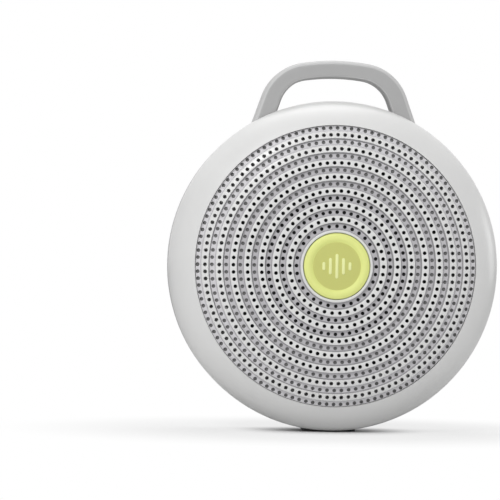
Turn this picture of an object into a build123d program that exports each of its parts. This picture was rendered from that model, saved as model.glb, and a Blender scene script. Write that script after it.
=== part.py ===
from build123d import *
import os
from math import asin, cos, pi, radians, sin, sqrt, tan

os.makedirs("parts", exist_ok=True)

# A small round sound machine that stands on its edge.  Millimetres.
# The sound axis runs along Y, the grille faces -Y and +Z is up.
# Depths are measured along Y from the middle of the machine.
# Heights and radii are measured from the sound axis until a piece is saved.

# ---------------------------------------------------------------- overall form
body_diameter = 89.0            # widest circle, at the edge of the front rim
overall_depth = 38.0            # button face to back pad
floor_gap = 0.3                 # front rim above the surface that the foot stands on
front_flat_radius = 25.0        # flat middle of the domed front
dome_depth = 11.5               # from the ridge tips back to the widest circle
rim_band = 1.15                 # straight edge of the rim behind the widest circle
rim_width = 6.83                # smooth rim outside the grille
shell_wall = 2.0                # moulded wall of both housings
shell_step = 0.2                # rear shell is this much smaller than the rim
back_round_depth = 12.6         # rounded part of the rear shell, ahead of its back face
back_flat_radius = 36.0         # flat part of the back
button_proud = 0.85             # button face ahead of the ridge tips
pad_proud = 0.4                 # back pad behind the rear shell
lip_length = 2.0                # tongue of the rear shell inside the rim
lip_wall = 1.4
sliding_gap = 0.1               # between shells that plug together

# ---------------------------------------------------------------- grille
grille_wall = 1.4
grille_seat_width = 2.0         # ledge of the rim that the grille's edge sits on
grille_seat_thickness = 1.3
grille_gap = 0.12               # dark joint between grille and rim
first_ring_radius = 10.7
last_ring_inset = 0.51          # last ring of holes inside the grille's edge
holes_per_ring = [32, 38, 48, 50, 60, 66, 72, 78, 84, 90, 96, 102, 108, 116, 124]
drilled_rings = 5               # inner rings over the driver that are drilled through
hole_diameter = 0.85
hole_sides = 6                  # moulded pin of each hole, kept to few faces
groove_depth = 0.6
groove_floor_width = 1.45
groove_mouth_width = 1.85
collar_width = 0.7              # raised collar round the button
collar_height = 0.3
grille_post_radius = 1.6
grille_post_inset = 5.0         # posts inside the grille's edge
grille_post_root = 0.15         # start of a post behind the grooves' floors
grille_post_head_radius = 2.5
grille_post_head = 0.8
post_angles = [22.5, 112.5, 202.5, 292.5]
cloth_thickness = 0.3

# ---------------------------------------------------------------- handle
handle_rise = 11.1              # top of the loop above the widest circle
handle_band = 4.7               # width of the loop at its top
handle_leg = 5.2                # width of each leg
handle_half_width = 20.1        # half width of the loop where it meets the widest circle
handle_lean = 19.5              # legs lean outwards, degrees
handle_corner_radius = 13.4
window_corner_radius = 8.6
handle_depth = 7.5
handle_setback = 0.4            # front of the loop behind the rim's edge
handle_outer_round = 1.4
handle_inner_round = 0.8
handle_foot_round = 2.0

# ---------------------------------------------------------------- button and its board
button_diameter = 17.6
button_gap = 0.2
button_face = 1.4
button_dish_radius = 6.5
button_dish_depth = 0.35
button_skirt = 1.0
button_flange = 0.75
button_flange_thickness = 0.8
button_stop_gap = 0.05
button_travel = 0.6
button_stem_diameter = 4.0
guide_wall = 1.0                # sleeve on the grille that guides the button
guide_length = 2.1              # ridge tips to the sleeve's end
button_board_diameter = 21.0
board_thickness = 1.2
switch_size = 6.0
switch_corner = 0.4
switch_body = 2.3
switch_plunger_diameter = 3.4
switch_plunger_proud = 0.9
plunger_play = 0.08
plunger_well = 1.6

# ---------------------------------------------------------------- baffle inside the front housing
baffle_lead = 5.7               # front of the baffle ahead of the parting plane
baffle_thickness = 1.6
driver_opening_inset = 3.0      # opening inside the driver's edge
hub_diameter = 23.0
spoke_width = 3.0
spoke_angles = [90, 210, 330]
lead_slot_width = 6.0
lead_slot_height = 8.0
lead_slot_corner = 1.0
lead_slot_gap = 2.0             # slot outside the driver's edge

# ---------------------------------------------------------------- loudspeaker driver, depths behind its flange
gasket_thickness = 1.4
gasket_inset = 0.2              # gasket inside the driver's edge
gasket_width = 1.2
driver_diameter = 50.0
driver_flange = 1.2
flange_rim = 1.4                # raised edge of the flange
flange_recess = 0.4             # step that the surround's lip lies on
flange_land = 2.0               # width of that step
driver_ear_offset = 2.0         # ear screws outside the driver's edge
driver_ear_radius = 2.6
driver_ear_root = 1.0           # ear let into the flange
basket_wall = 1.0
bowl_inset = 3.0                # top of the bowl's wall inside the driver's edge
bowl_taper = 1.4
spider_ledge_inset = 8.5        # inner edge of the spider's ledge inside the driver's edge
spider_ledge_depth = 5.6
rear_ring_depth = 8.0
window_angles = [45, 135, 225, 315]
window_width = 12.0
window_inner_radius = 15.0
window_front = 2.2
window_back = 5.0
surround_width = 6.4            # driver's edge to the cone's edge
surround_roll = 1.3
surround_thickness = 0.3
surround_landing = 1.2          # inner lip of the surround on the cone
surround_play = 0.1             # surround's lip inside the flange's raised edge
glue_gap = 0.05
cone_thickness = 0.4
cone_neck_depth = 3.9
cone_neck_length = 0.5
coil_diameter = 20.0
coil_wall = 0.4
coil_front = 3.9
coil_length = 5.5
dust_cap_seat = 3.8
dust_cap_rise = 2.6
dust_cap_thickness = 0.4
spider_depths = [5.0, 4.6, 5.2, 4.7, 5.2]
spider_thickness = 0.35
spider_flat_inset = 8.1
spider_edge_inset = 5.2
top_plate_depth = 7.9
top_plate_thickness = 1.6
top_plate_overhang = 0.3
magnet_diameter = 17.6
magnet_thickness = 2.4
yoke_diameter = 25.0
yoke_wall = 1.6
yoke_depth = 6.2
yoke_chamfer = 0.6
ear_angles = [0, 90, 180, 270]
terminal_angle = 123
terminal_inset = 5.3            # middle of the tag board inside the driver's edge
terminal_width = 4.0
terminal_length = 11.0
terminal_thickness = 1.0

# ---------------------------------------------------------------- fasteners
housing_screw_circle = 32.5
housing_screw_angles = [45, 135, 225, 315]
front_boss_radius = 2.8
rear_boss_radius = 3.6
boss_setback = 4.7              # joint of front and rear bosses behind the parting plane
boss_gap = 0.2
screw_shank_radius = 1.25
screw_thread_gap = 0.05
screw_head_radius = 2.2
screw_head = 1.6
screw_web = 2.8
screw_length = 9.5
small_screw_radius = 0.9
small_head_radius = 1.8
small_head = 1.1
board_screw_length = 3.2
driver_screw_length = 3.8
button_screw_length = 2.4
slot_length_share = 1.4         # screwdriver slot, as shares of the head's radius
slot_width_share = 0.35

# ---------------------------------------------------------------- main board and its parts
main_board_height = 4.0         # back of the board above the rear shell's floor
main_board_thickness = 1.6
board_edge_gap = 2.0            # board inside the rear shell
main_board_bottom = -14.0
board_cutout_half_width = 20.5
board_cutout_top = 6.5
board_notch_gap = 0.6           # board clear of the volume buttons' flanges
board_post_radius = 2.4
board_post_spots = [(-16.0, 27.0), (16.0, 27.0), (-29.0, -8.0), (29.0, -8.0)]
boss_clearance = 0.6

socket_length = 7.4
socket_width = 8.9
socket_height = 3.2
socket_shell = 0.35
socket_back_wall = 1.0
socket_tongue = 0.7
socket_tongue_margin = 1.2
socket_tongue_setback = 1.0
socket_overhang = 3.0
socket_gap = 0.4
socket_height_place = 0.0
oval_margin = 0.01              # keeps the ends of an oval just short of a half circle
light_height_place = 9.0
light_radius = 1.0
light_inset = 0.05
light_overlap = 3.0             # light pipe over the board's edge

controller_spot = (-2.0, 19.0)
controller_size = (7.0, 8.0, 1.6)
amplifier_spot = (-15.0, 14.0)
amplifier_size = (4.0, 5.0, 1.5)
chip_standoff = 0.1
leg_pitch = 1.27
leg_width = 0.45
leg_reach = 1.0
capacitor_sizes = [(4.0, 31.0, 2.5, 5.4), (10.0, 31.5, 2.5, 5.4), (-24.0, 10.0, 3.1, 5.8)]
lead_sockets_at = {"speaker": (-9.0, 31.0), "button": (24.0, 14.0), "battery": (-24.5, 2.5)}
lead_socket_size = (6.0, 4.0, 3.6)

# ---------------------------------------------------------------- volume buttons
volume_spacing = 15.0
volume_length = 10.0
volume_width = 4.6
volume_proud = 0.25
volume_travel = 0.5
volume_gap = 0.3
volume_flange = 0.9
volume_flange_thickness = 0.7
side_switch_width = 6.0
side_switch_length = 3.6
side_switch_plunger = 0.8
side_plunger_radius = 1.0

# ---------------------------------------------------------------- battery, pad, foot and leads
battery_width = 36.0
battery_height = 28.0
battery_thickness = 6.0
battery_edge_radius = 2.0
battery_top = -3.0
battery_tape = 0.4
tape_side_margin = 4.0
tape_end_margin = 3.0
rib_wall = 1.0
rib_height = 2.5
rib_gap = 0.3
pad_radius = 26.0
pad_thickness = 1.0
pad_edge = 0.3
foot_width = 14.0
foot_length = 14.0
foot_thickness = 1.8
foot_setback = 1.0              # front of the foot behind the parting plane
foot_corner = 1.5
lead_diameter = 0.8
lead_pitch = 1.25
arc_share = 0.45                # share of the shorter run that each bend of a lead takes up

# ---------------------------------------------------------------- derived places
front_face = -overall_depth / 2
ridge_plane = front_face + button_proud
widest_plane = ridge_plane + dome_depth
parting_plane = widest_plane + rim_band
pad_face = overall_depth / 2
back_face = pad_face - pad_proud
back_curve_start = back_face - back_round_depth
floor_face = back_face - shell_wall
body_radius = body_diameter / 2
axis_height = body_radius + floor_gap
shell_radius = body_radius - shell_step
inner_radius = shell_radius - shell_wall
grille_radius = body_radius - rim_width
ring_pitch = (grille_radius - last_ring_inset - first_ring_radius) / (len(holes_per_ring) - 1)
groove_rings = range(0, len(holes_per_ring), 2)
grille_post_circle = grille_radius - grille_post_inset
handle_top_radius = body_radius + handle_rise
button_radius = button_diameter / 2
button_bore = button_radius + button_gap
guide_end = ridge_plane + guide_length
baffle_front = parting_plane - baffle_lead
baffle_back = baffle_front + baffle_thickness
driver_radius = driver_diameter / 2
driver_front = baffle_back + gasket_thickness
driver_opening_radius = driver_radius - driver_opening_inset
driver_ear_circle = driver_radius + driver_ear_offset
cone_radius = driver_radius - surround_width
ledge_radius = driver_radius - spider_ledge_inset
lead_slot_bottom = driver_radius + lead_slot_gap
button_board_front = baffle_front - board_thickness
switch_front = button_board_front - switch_body
plunger_tip = switch_front - switch_plunger_proud
boss_split = parting_plane + boss_setback
main_board_back = floor_face - main_board_height
main_board_front = main_board_back - main_board_thickness
foot_front = parting_plane + foot_setback


# ---------------------------------------------------------------- helpers
def spun(outline):
    """Solid of revolution about the sound axis, from a face drawn as radius along X and depth along Y."""
    return revolve(outline, Axis.Y)


def spun_points(points):
    """Solid of revolution from the corner points (radius, depth) of a closed outline."""
    return spun(make_face(Polyline(points, close=True)))


def ring(inner, outer, front, back):
    """Plain ring or, with an inner radius of zero, a disc between two depths."""
    return spun_points([(inner, front), (outer, front), (outer, back), (inner, back)])


def slab(sketch, front, back):
    """Sketch drawn as seen from the front, X to the right and Y up, made solid between two depths."""
    return extrude(Plane.XZ.offset(-back) * sketch, back - front)


def rod(x, z, radius, front, back):
    """Round rod along the sound axis."""
    return slab(Pos(x, z) * Circle(radius), front, back)


def side_rod(depth, z, radius, start, end):
    """Round rod along X."""
    return extrude(Plane.YZ.offset(start) * Pos(depth, z) * Circle(radius), end - start)


def on_circle(radius, angle):
    return radius * cos(radians(angle)), radius * sin(radians(angle))


def ring_radius(index):
    return first_ring_radius + ring_pitch * index


def dome_drop(radius):
    """How far the domed front lies behind the ridge plane at a radius."""
    past = max(radius - front_flat_radius, 0) / (body_radius - front_flat_radius)
    return dome_depth * (1 - sqrt(1 - past ** 2))


def rear_radius(depth, inset):
    """Radius of the rear shell at a depth, drawn in by inset from its outer surface."""
    past = max(depth - back_curve_start, 0) / (back_face - inset - back_curve_start)
    return back_flat_radius + (shell_radius - inset - back_flat_radius) * sqrt(1 - past ** 2)


main_board_radius = rear_radius(main_board_back, shell_wall) - board_edge_gap


def save(name, shape):
    """Write one sub-part, raised so that the foot's underside is at Z = 0."""
    raised = Pos(0, 0, axis_height) * shape
    solids = raised.solids()
    export_step(solids[0] if len(solids) == 1 else Compound(children=list(solids)), f"parts/{name}.step")


# ---------------------------------------------------------------- domed front
def dome_face(inset, back):
    """Half section of the domed front, drawn in by inset, from the sound axis back to a depth."""
    widest = body_radius - inset
    crown = ridge_plane + inset
    flat = Line((0, crown), (front_flat_radius, crown))
    curve = EllipticalCenterArc(
        (front_flat_radius, widest_plane),
        widest - front_flat_radius,
        dome_depth - inset,
        start_angle=270,
        arc_size=90,
    )
    side = Line((widest, widest_plane), (widest, back))
    base = Line((widest, back), (0, back))
    axis = Line((0, back), (0, crown))
    return make_face([flat, curve, side, base, axis])


def band(inner, outer, front, back):
    """Rectangle of a half section between two radii and two depths."""
    return make_face(Polyline((inner, front), (outer, front), (outer, back), (inner, back), close=True))


def groove_face(radius):
    """Section of one groove: slanted walls that open towards the front."""
    floor = ridge_plane + dome_drop(radius) + groove_depth
    half_floor = groove_floor_width / 2
    half_top = half_floor + (groove_mouth_width / 2 - half_floor) * dome_depth / groove_depth
    return make_face(
        Polyline(
            (radius - half_floor, floor + groove_depth),
            (radius + half_floor, floor + groove_depth),
            (radius + half_floor, floor),
            (radius + half_top, floor - dome_depth),
            (radius - half_top, floor - dome_depth),
            (radius - half_floor, floor),
            close=True,
        )
    )


def make_grille():
    """Domed disc with concentric grooves, drilled rings, the button's collar and guide, and four posts."""
    skin = dome_face(0, parting_plane) - dome_face(grille_wall, parting_plane)
    plate = skin & band(button_bore, grille_radius, front_face, parting_plane)
    surface_layer = dome_face(0, parting_plane) - dome_face(groove_depth, parting_plane)
    for index in groove_rings:
        plate -= groove_face(ring_radius(index)) & surface_layer
    collar_edge = button_bore + collar_width
    plate += band(button_bore, collar_edge, ridge_plane - collar_height, ridge_plane + grille_wall)
    plate += band(button_bore, button_bore + guide_wall, ridge_plane + grille_wall / 2, guide_end)
    disc = spun(plate)
    root = ridge_plane + dome_drop(grille_post_circle + grille_post_radius) + groove_depth + grille_post_root
    for angle in post_angles:
        x, z = on_circle(grille_post_circle, angle)
        disc += rod(x, z, grille_post_radius, root, baffle_back)
        disc += rod(x, z, grille_post_head_radius, baffle_back, baffle_back + grille_post_head)
    return drilled(disc)


def drilled(disc):
    """Rings of small holes through the disc, evenly spaced round each ring."""
    pins = []
    for index in range(drilled_rings):
        count = holes_per_ring[index]
        for place in PolarLocations(ring_radius(index), count):
            pins.append(RegularPolygon(hole_diameter / 2, hole_sides).moved(place))
    layer = slab(Sketch() + pins, front_face, baffle_front)
    return disc - layer


def make_cloth():
    """Thin cloth that follows the grille's inner face, cut out round the button guide and the posts."""
    near = dome_face(grille_wall + sliding_gap, parting_plane)
    far = dome_face(grille_wall + sliding_gap + cloth_thickness, parting_plane)
    inner = button_bore + guide_wall + sliding_gap
    outer = grille_post_circle - grille_post_radius - sliding_gap
    return spun((near - far) & band(inner, outer, front_face, parting_plane))


# ---------------------------------------------------------------- front housing
def make_front_housing():
    """Smooth rim, ledge for the grille, baffle with spokes and hub, and four screw bosses."""
    seat = grille_radius + grille_gap
    outer_skin = dome_face(0, parting_plane) - dome_face(shell_wall, parting_plane)
    rim = outer_skin & band(seat, body_radius + shell_wall, front_face, parting_plane)
    ledge_front = grille_wall + sliding_gap
    ledge_back = ledge_front + grille_seat_thickness
    ledge_ring = dome_face(ledge_front, parting_plane) - dome_face(ledge_back, parting_plane)
    rim += ledge_ring & band(seat - grille_seat_width, seat + shell_wall / 2, front_face, parting_plane)
    rim += band(driver_opening_radius, body_radius - shell_wall, baffle_front, baffle_back)
    housing = spun(rim & dome_face(0, parting_plane))
    housing += ring(0, hub_diameter / 2, baffle_front, baffle_back)
    for angle in spoke_angles:
        arm = Rectangle(driver_opening_radius + spoke_width, spoke_width, align=(Align.MIN, Align.CENTER))
        housing += slab(Rot(0, 0, angle) * arm, baffle_front, baffle_back)
    for angle in housing_screw_angles:
        x, z = on_circle(housing_screw_circle, angle)
        housing += rod(x, z, front_boss_radius, baffle_front, boss_split - boss_gap)
        housing -= rod(x, z, screw_shank_radius + screw_thread_gap, baffle_back, boss_split)
    for angle in post_angles:
        x, z = on_circle(grille_post_circle, angle)
        housing -= rod(x, z, grille_post_radius + sliding_gap, baffle_front, baffle_back)
    for angle in ear_angles:
        x, z = on_circle(driver_ear_circle, angle)
        housing -= rod(x, z, small_screw_radius + screw_thread_gap, baffle_front, baffle_back)
    for x in button_screw_places():
        housing -= rod(x, 0, small_screw_radius + screw_thread_gap, baffle_front, baffle_back)
    return housing - slab(lead_slot(), baffle_front, baffle_back)


def lead_slot():
    """Slot in the baffle for the button's leads, between the driver and the rim."""
    x = grille_post_radius * 2 + lead_slot_width / 2 + sliding_gap
    outline = RectangleRounded(lead_slot_width, lead_slot_height, lead_slot_corner)
    return Pos(x, lead_slot_bottom + lead_slot_height / 2) * outline


def button_screw_places():
    reach = button_board_diameter / 2 - small_head_radius - sliding_gap
    return [-reach, reach]


# ---------------------------------------------------------------- rear housing with its loop
def rear_section(inset):
    """Half section of the rear shell, drawn in by inset, from the parting plane to the back."""
    widest = shell_radius - inset
    back = back_face - inset
    front = Line((0, parting_plane), (widest, parting_plane))
    side = Line((widest, parting_plane), (widest, back_curve_start))
    curve = EllipticalCenterArc(
        (back_flat_radius, back_curve_start),
        widest - back_flat_radius,
        back - back_curve_start,
        start_angle=0,
        arc_size=90,
    )
    base = Line((back_flat_radius, back), (0, back))
    axis = Line((0, back), (0, parting_plane))
    return make_face([front, side, curve, base, axis])


def handle_outline(band, leg, corner_radius):
    """Arch with a round top and leaning legs, drawn in by a band at its top and a leg's width at its sides."""
    slope = tan(radians(handle_lean))
    top = handle_top_radius - band
    half_width = handle_half_width - leg / cos(radians(handle_lean))
    top_half = half_width - slope * (top - body_radius)
    foot_half = half_width + slope * body_radius
    wedge = make_face(
        Polyline(
            (-top_half, top),
            (top_half, top),
            (foot_half, 0),
            (-foot_half, 0),
            close=True,
        )
    )
    arch = wedge & Circle(top)
    corners = arch.vertices().group_by(Axis.Y)[-1]
    return fillet(corners, corner_radius)


def make_loop():
    """Carrying loop with its feet, kept outside the middle of the shell's wall."""
    arch = handle_outline(0, 0, handle_corner_radius)
    window = handle_outline(handle_band, handle_leg, window_corner_radius) - Circle(shell_radius)
    window &= Rectangle(body_diameter, handle_top_radius, align=(Align.CENTER, Align.MIN))
    base = Circle(shell_radius) + arch
    feet = [v for v in base.vertices() if v.Y > body_radius / 2 and abs(v.X) > handle_half_width]
    base = fillet(feet, handle_foot_round)
    front = parting_plane + handle_setback
    plate = slab(base, front, front + handle_depth)
    rounded = plate.edges().filter_by(GeomType.LINE, reverse=True)
    rounded = [edge for edge in rounded if edge.center().Z > 0 and is_flat_to_front(edge)]
    plate = fillet(rounded, handle_outer_round)
    hole = slab(window, front, front + handle_depth)
    plate -= hole
    inner = [edge for edge in plate.edges() if is_window_edge(edge, front)]
    plate = fillet(inner, handle_inner_round)
    return plate - ring(0, inner_radius + shell_wall / 2, front_face, pad_face)


def is_flat_to_front(edge):
    """True for an edge that lies in one depth."""
    box = edge.bounding_box()
    return box.size.Y < 0.001


def is_window_edge(edge, front):
    """True for an edge of the window on the loop's front or back face."""
    box = edge.bounding_box()
    on_face = min(abs(box.min.Y - front), abs(box.min.Y - front - handle_depth)) < 0.001
    reach = handle_half_width - handle_band / 2
    inside = abs(edge.center().X) < reach and edge.center().Z < handle_top_radius - handle_band / 2
    return on_face and inside and box.size.Y < 0.001 and box.max.X - box.min.X < handle_half_width * 2


def make_rear_housing():
    """Rear shell, tongue, carrying loop, bosses, battery ribs and the openings in its side."""
    shell = spun(rear_section(0) - rear_section(shell_wall))
    shell -= ring(0, inner_radius, parting_plane, parting_plane + shell_wall)
    lip_outer = body_radius - shell_wall - sliding_gap
    shell += ring(lip_outer - lip_wall, lip_outer, parting_plane - lip_length, parting_plane + shell_wall)
    shell += make_loop()
    for angle in housing_screw_angles:
        x, z = on_circle(housing_screw_circle, angle)
        shell += rod(x, z, rear_boss_radius, boss_split, floor_face + shell_wall / 2)
        shell -= rod(x, z, screw_head_radius + sliding_gap, boss_split + screw_web, pad_face)
        shell -= rod(x, z, screw_shank_radius + sliding_gap, boss_split, pad_face)
    for x, z in board_post_spots:
        shell += rod(x, z, board_post_radius, main_board_back, floor_face + shell_wall / 2)
        shell -= rod(x, z, small_screw_radius + screw_thread_gap, main_board_back, floor_face)
    shell += battery_ribs()
    shell += foot_boss()
    shell -= foot_block(0)
    shell -= ring(0, pad_radius + sliding_gap, pad_face - pad_thickness, pad_face)
    shell -= socket_opening()
    shell -= side_rod(socket_depth(), light_height_place, light_radius + sliding_gap, -body_radius, 0)
    for z in volume_places():
        shell -= volume_slot(z, volume_gap, 0)
    return shell


def battery_ribs():
    """Low ribs on the floor round the battery."""
    gap = rib_gap
    outer = Rectangle(battery_width + 2 * (gap + rib_wall), battery_height + 2 * (gap + rib_wall))
    inner = Rectangle(battery_width + 2 * gap, battery_height + 2 * gap)
    frame = Pos(0, battery_top - battery_height / 2) * (outer - inner)
    return slab(frame, floor_face - rib_height, floor_face + shell_wall / 2)


def foot_block(growth):
    """Rubber foot, or with a growth the block of wall round it."""
    base = RectangleRounded(foot_width + growth, foot_length + growth, foot_corner)
    height = foot_thickness + growth / 2
    return Pos(0, foot_front + foot_length / 2, -axis_height) * extrude(base, height)


def foot_boss():
    """Thicker wall over the foot, kept inside the shell's outer surface."""
    block = foot_block(shell_wall)
    return block & spun(rear_section(0))


def socket_depth():
    return main_board_front - socket_height / 2


def socket_opening():
    """Opening in the side wall for the plug."""
    mouth = RectangleRounded(socket_height + socket_gap, socket_width + socket_gap, socket_height / 2)
    placed = Pos(socket_depth(), socket_height_place) * mouth
    return extrude(Plane.YZ.offset(-body_radius) * placed, body_radius / 2)


# ---------------------------------------------------------------- volume buttons
def volume_places():
    return [volume_spacing / 2, -volume_spacing / 2]


def volume_depth():
    """Depth of the middle of the volume buttons and their switches."""
    return main_board_front - side_switch_length / 2


def volume_slot(z, growth, from_x):
    """Long round-ended bar along X through the side wall at one volume button's place."""
    outline = SlotOverall(volume_length + 2 * growth, volume_width + 2 * growth, rotation=90)
    placed = Pos(volume_depth(), z) * outline
    return extrude(Plane.YZ.offset(from_x) * placed, body_diameter)


def volume_flange_block(z):
    """Flat flange behind the wall that keeps a volume button in."""
    width = volume_width + 2 * volume_flange
    outline = RectangleRounded(width, volume_length + 2 * volume_flange, volume_flange)
    inner_face = Plane.YZ.offset(flange_outer_x() - volume_flange_thickness)
    return extrude(inner_face * Pos(volume_depth(), z) * outline, volume_flange_thickness)


def flange_reach():
    """Height of the volume buttons' flanges above and below the sound axis."""
    return (volume_spacing + volume_length) / 2 + volume_flange


def flange_outer_x():
    """Outer face of the flange, where its far corners clear the inside of the wall."""
    far = volume_depth() + volume_width / 2 + volume_flange
    return sqrt(rear_radius(far, shell_wall) ** 2 - flange_reach() ** 2) - button_stop_gap


def make_volume_button(z):
    """Button whose face follows the rim, with a flange inside and a pad that meets the switch."""
    cap = volume_slot(z, 0, flange_outer_x() - volume_flange_thickness)
    skin = spun(rear_section(-volume_proud)) & cap
    inner = volume_slot(z, -button_skirt, flange_outer_x() + volume_flange_thickness)
    hollow = inner & spun(rear_section(shell_wall))
    return skin + volume_flange_block(z) - hollow


def side_plunger_tip():
    return flange_outer_x() - volume_flange_thickness - button_stop_gap


def side_switch_front():
    """Face of the side switches, ahead of which their plungers stand."""
    return side_plunger_tip() - side_switch_plunger


def make_side_plunger(z):
    """Plunger of one side switch, which moves with its button."""
    tip = side_plunger_tip()
    return side_rod(volume_depth(), z, side_plunger_radius, tip - plunger_well, tip)


def make_volume_switches():
    """Two side-pressed switches on the main board, each with a well for its plunger."""
    front_x = side_switch_front()
    well_radius = side_plunger_radius + plunger_play
    well_end = front_x - plunger_well - volume_travel
    corner = (Align.MAX, Align.MAX, Align.CENTER)
    bodies = []
    for z in volume_places():
        block = Box(side_switch_length, side_switch_length, side_switch_width, align=corner)
        well = side_rod(volume_depth(), z, well_radius, well_end, front_x)
        bodies.append(Pos(front_x, main_board_front, z) * block - well)
    return Compound(children=bodies)


# ---------------------------------------------------------------- power button
def make_power_button():
    """Dished cap with a rounded rim, skirt, retaining flange and stem."""
    back = guide_end + button_stop_gap + button_flange_thickness
    inside = front_face + button_face
    dish = front_face + button_dish_depth
    rim_middle = (button_dish_radius + button_radius) / 2
    rim = ThreePointArc((button_dish_radius, dish), (rim_middle, front_face), (button_radius, dish))
    body = Polyline(
        (button_radius, dish),
        (button_radius, guide_end + button_stop_gap),
        (button_bore + button_flange, guide_end + button_stop_gap),
        (button_bore + button_flange, back),
        (button_radius - button_skirt, back),
        (button_radius - button_skirt, inside),
        (button_stem_diameter / 2, inside),
        (button_stem_diameter / 2, plunger_tip - button_stop_gap),
        (0, plunger_tip - button_stop_gap),
        (0, dish),
        (button_dish_radius, dish),
    )
    return spun(make_face([rim, body]))


def make_button_board():
    """Small round board on the hub."""
    disc = ring(0, button_board_diameter / 2, button_board_front, baffle_front)
    for x in button_screw_places():
        disc -= rod(x, 0, small_screw_radius + sliding_gap, button_board_front, baffle_front)
    return disc


def make_power_switch():
    """Square switch body with a well for its plunger."""
    body = slab(RectangleRounded(switch_size, switch_size, switch_corner), switch_front, button_board_front)
    return body - ring(0, switch_plunger_diameter / 2 + plunger_play, switch_front, switch_front + plunger_well)


def make_power_plunger():
    """Plunger of the switch, which moves with the button."""
    back = switch_front + plunger_well - button_travel - plunger_play
    return ring(0, switch_plunger_diameter / 2, plunger_tip, back)


# ---------------------------------------------------------------- driver
def at(offset_depth):
    """Depth of a point of the driver, measured back from its flange."""
    return driver_front + offset_depth


def make_basket():
    """Pressed frame: flange with four ears, windowed bowl, ledge for the spider and a rear ring."""
    rear_opening = yoke_diameter / 2 + sliding_gap
    flange_inner = driver_radius - flange_rim - flange_land
    bowl_end = driver_radius - bowl_inset - bowl_taper
    frame = spun_points([
        (driver_radius - flange_rim, at(flange_recess)),
        (driver_radius - flange_rim, at(0)),
        (driver_radius, at(0)),
        (driver_radius, at(driver_flange)),
        (driver_radius - bowl_inset + flange_rim, at(driver_flange)),
        (bowl_end + basket_wall, at(spider_ledge_depth + basket_wall)),
        (ledge_radius + basket_wall, at(spider_ledge_depth + basket_wall)),
        (ledge_radius + basket_wall, at(rear_ring_depth + basket_wall)),
        (rear_opening, at(rear_ring_depth + basket_wall)),
        (rear_opening, at(rear_ring_depth)),
        (ledge_radius, at(rear_ring_depth)),
        (ledge_radius, at(spider_ledge_depth)),
        (bowl_end, at(spider_ledge_depth)),
        (driver_radius - bowl_inset, at(driver_flange)),
        (flange_inner, at(flange_recess)),
    ])
    core = ring(0, driver_radius - driver_ear_root, at(0), at(driver_flange))
    for angle in ear_angles:
        x, z = on_circle(driver_ear_circle, angle)
        frame += slab(ear_outline(angle), at(0), at(driver_flange)) - core
        frame -= rod(x, z, small_screw_radius + sliding_gap, at(0), at(driver_flange))
    for angle in window_angles:
        window = Rectangle(driver_radius - window_inner_radius, window_width, align=(Align.MAX, Align.CENTER))
        placed = Rot(0, 0, angle) * Pos(driver_radius, 0) * window
        frame -= slab(placed, at(window_front), at(window_back))
    return frame


def ear_outline(angle):
    """Round-ended ear that grows out of the flange."""
    web_length = driver_ear_offset + 2 * driver_ear_root
    web = Rectangle(web_length, driver_ear_radius * 2, align=(Align.MAX, Align.CENTER))
    return Rot(0, 0, angle) * (Pos(driver_ear_circle, 0) * (Circle(driver_ear_radius) + web))


def make_surround():
    """Half-roll edge: lip on the flange, roll and inner landing on the cone."""
    outer_lip = driver_radius - flange_rim - surround_play
    roll_outer = driver_radius - flange_rim - flange_land - surround_play
    middle = (roll_outer + cone_radius) / 2
    landing = cone_radius - surround_landing
    lip_front = at(glue_gap)
    lip_back = lip_front + surround_thickness
    roll = ThreePointArc((cone_radius, lip_front), (middle, lip_front - surround_roll), (roll_outer, lip_front))
    under = ThreePointArc((roll_outer, lip_back), (middle, lip_back - surround_roll), (cone_radius, lip_back))
    outer_edge = lip_edge(roll_outer, outer_lip, lip_front, lip_back)
    inner_edge = lip_edge(cone_radius, landing, lip_front, lip_back)
    return spun(make_face([roll, outer_edge, under, inner_edge]))


def lip_edge(root, end, front, back):
    """Three sides of a flat lip, from its root out to its end and back."""
    return Polyline((root, front), (end, front), (end, back), (root, back))


def make_cone():
    """Paper cone from the surround down to the coil former."""
    neck = coil_diameter / 2 + coil_wall
    front = at(glue_gap) + surround_thickness + glue_gap
    back = front + cone_thickness
    return spun_points([
        (neck, at(cone_neck_depth)),
        (cone_radius - surround_landing, front),
        (cone_radius, front),
        (cone_radius, back),
        (cone_radius - surround_landing + cone_thickness / 2, back),
        (neck, at(cone_neck_depth + cone_neck_length)),
    ])


def make_dust_cap():
    """Shallow dome over the coil, an even shell between two arcs about one centre."""
    base = coil_diameter / 2 - coil_wall / 2 - glue_gap
    radius = (base ** 2 + dust_cap_rise ** 2) / (2 * dust_cap_rise)
    centre = at(dust_cap_seat) - dust_cap_rise + radius
    half_turn = asin(base / radius)
    front = dust_cap_arc(centre, radius, half_turn)
    back = dust_cap_arc(centre, radius - dust_cap_thickness, half_turn)
    edge = Line(front @ 1, back @ 1)
    axis = Line(back @ 0, front @ 0)
    return spun(make_face([front, edge, back, axis]))


def dust_cap_arc(centre, radius, half_turn):
    """Arc from the sound axis outwards, about a point on the axis."""
    quarter = half_turn / 2
    return ThreePointArc(
        (0, centre - radius),
        (radius * sin(quarter), centre - radius * cos(quarter)),
        (radius * sin(half_turn), centre - radius * cos(half_turn)),
    )


def make_spider():
    """Corrugated disc that centres the coil."""
    inner = (coil_diameter + coil_wall) / 2 + 2 * glue_gap
    flat = driver_radius - spider_flat_inset
    step = (flat - inner) / (len(spider_depths) - 1)
    front = [(inner + step * index, at(depth)) for index, depth in enumerate(spider_depths)]
    front.append((driver_radius - spider_edge_inset, at(spider_depths[-1])))
    back = [(radius, depth + spider_thickness) for radius, depth in reversed(front)]
    return spun_points(front + back)


def make_voice_coil():
    """Thin tube in the magnet's gap."""
    inner = (coil_diameter - coil_wall) / 2
    return ring(inner, inner + coil_wall, at(coil_front), at(coil_front + coil_length))


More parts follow.
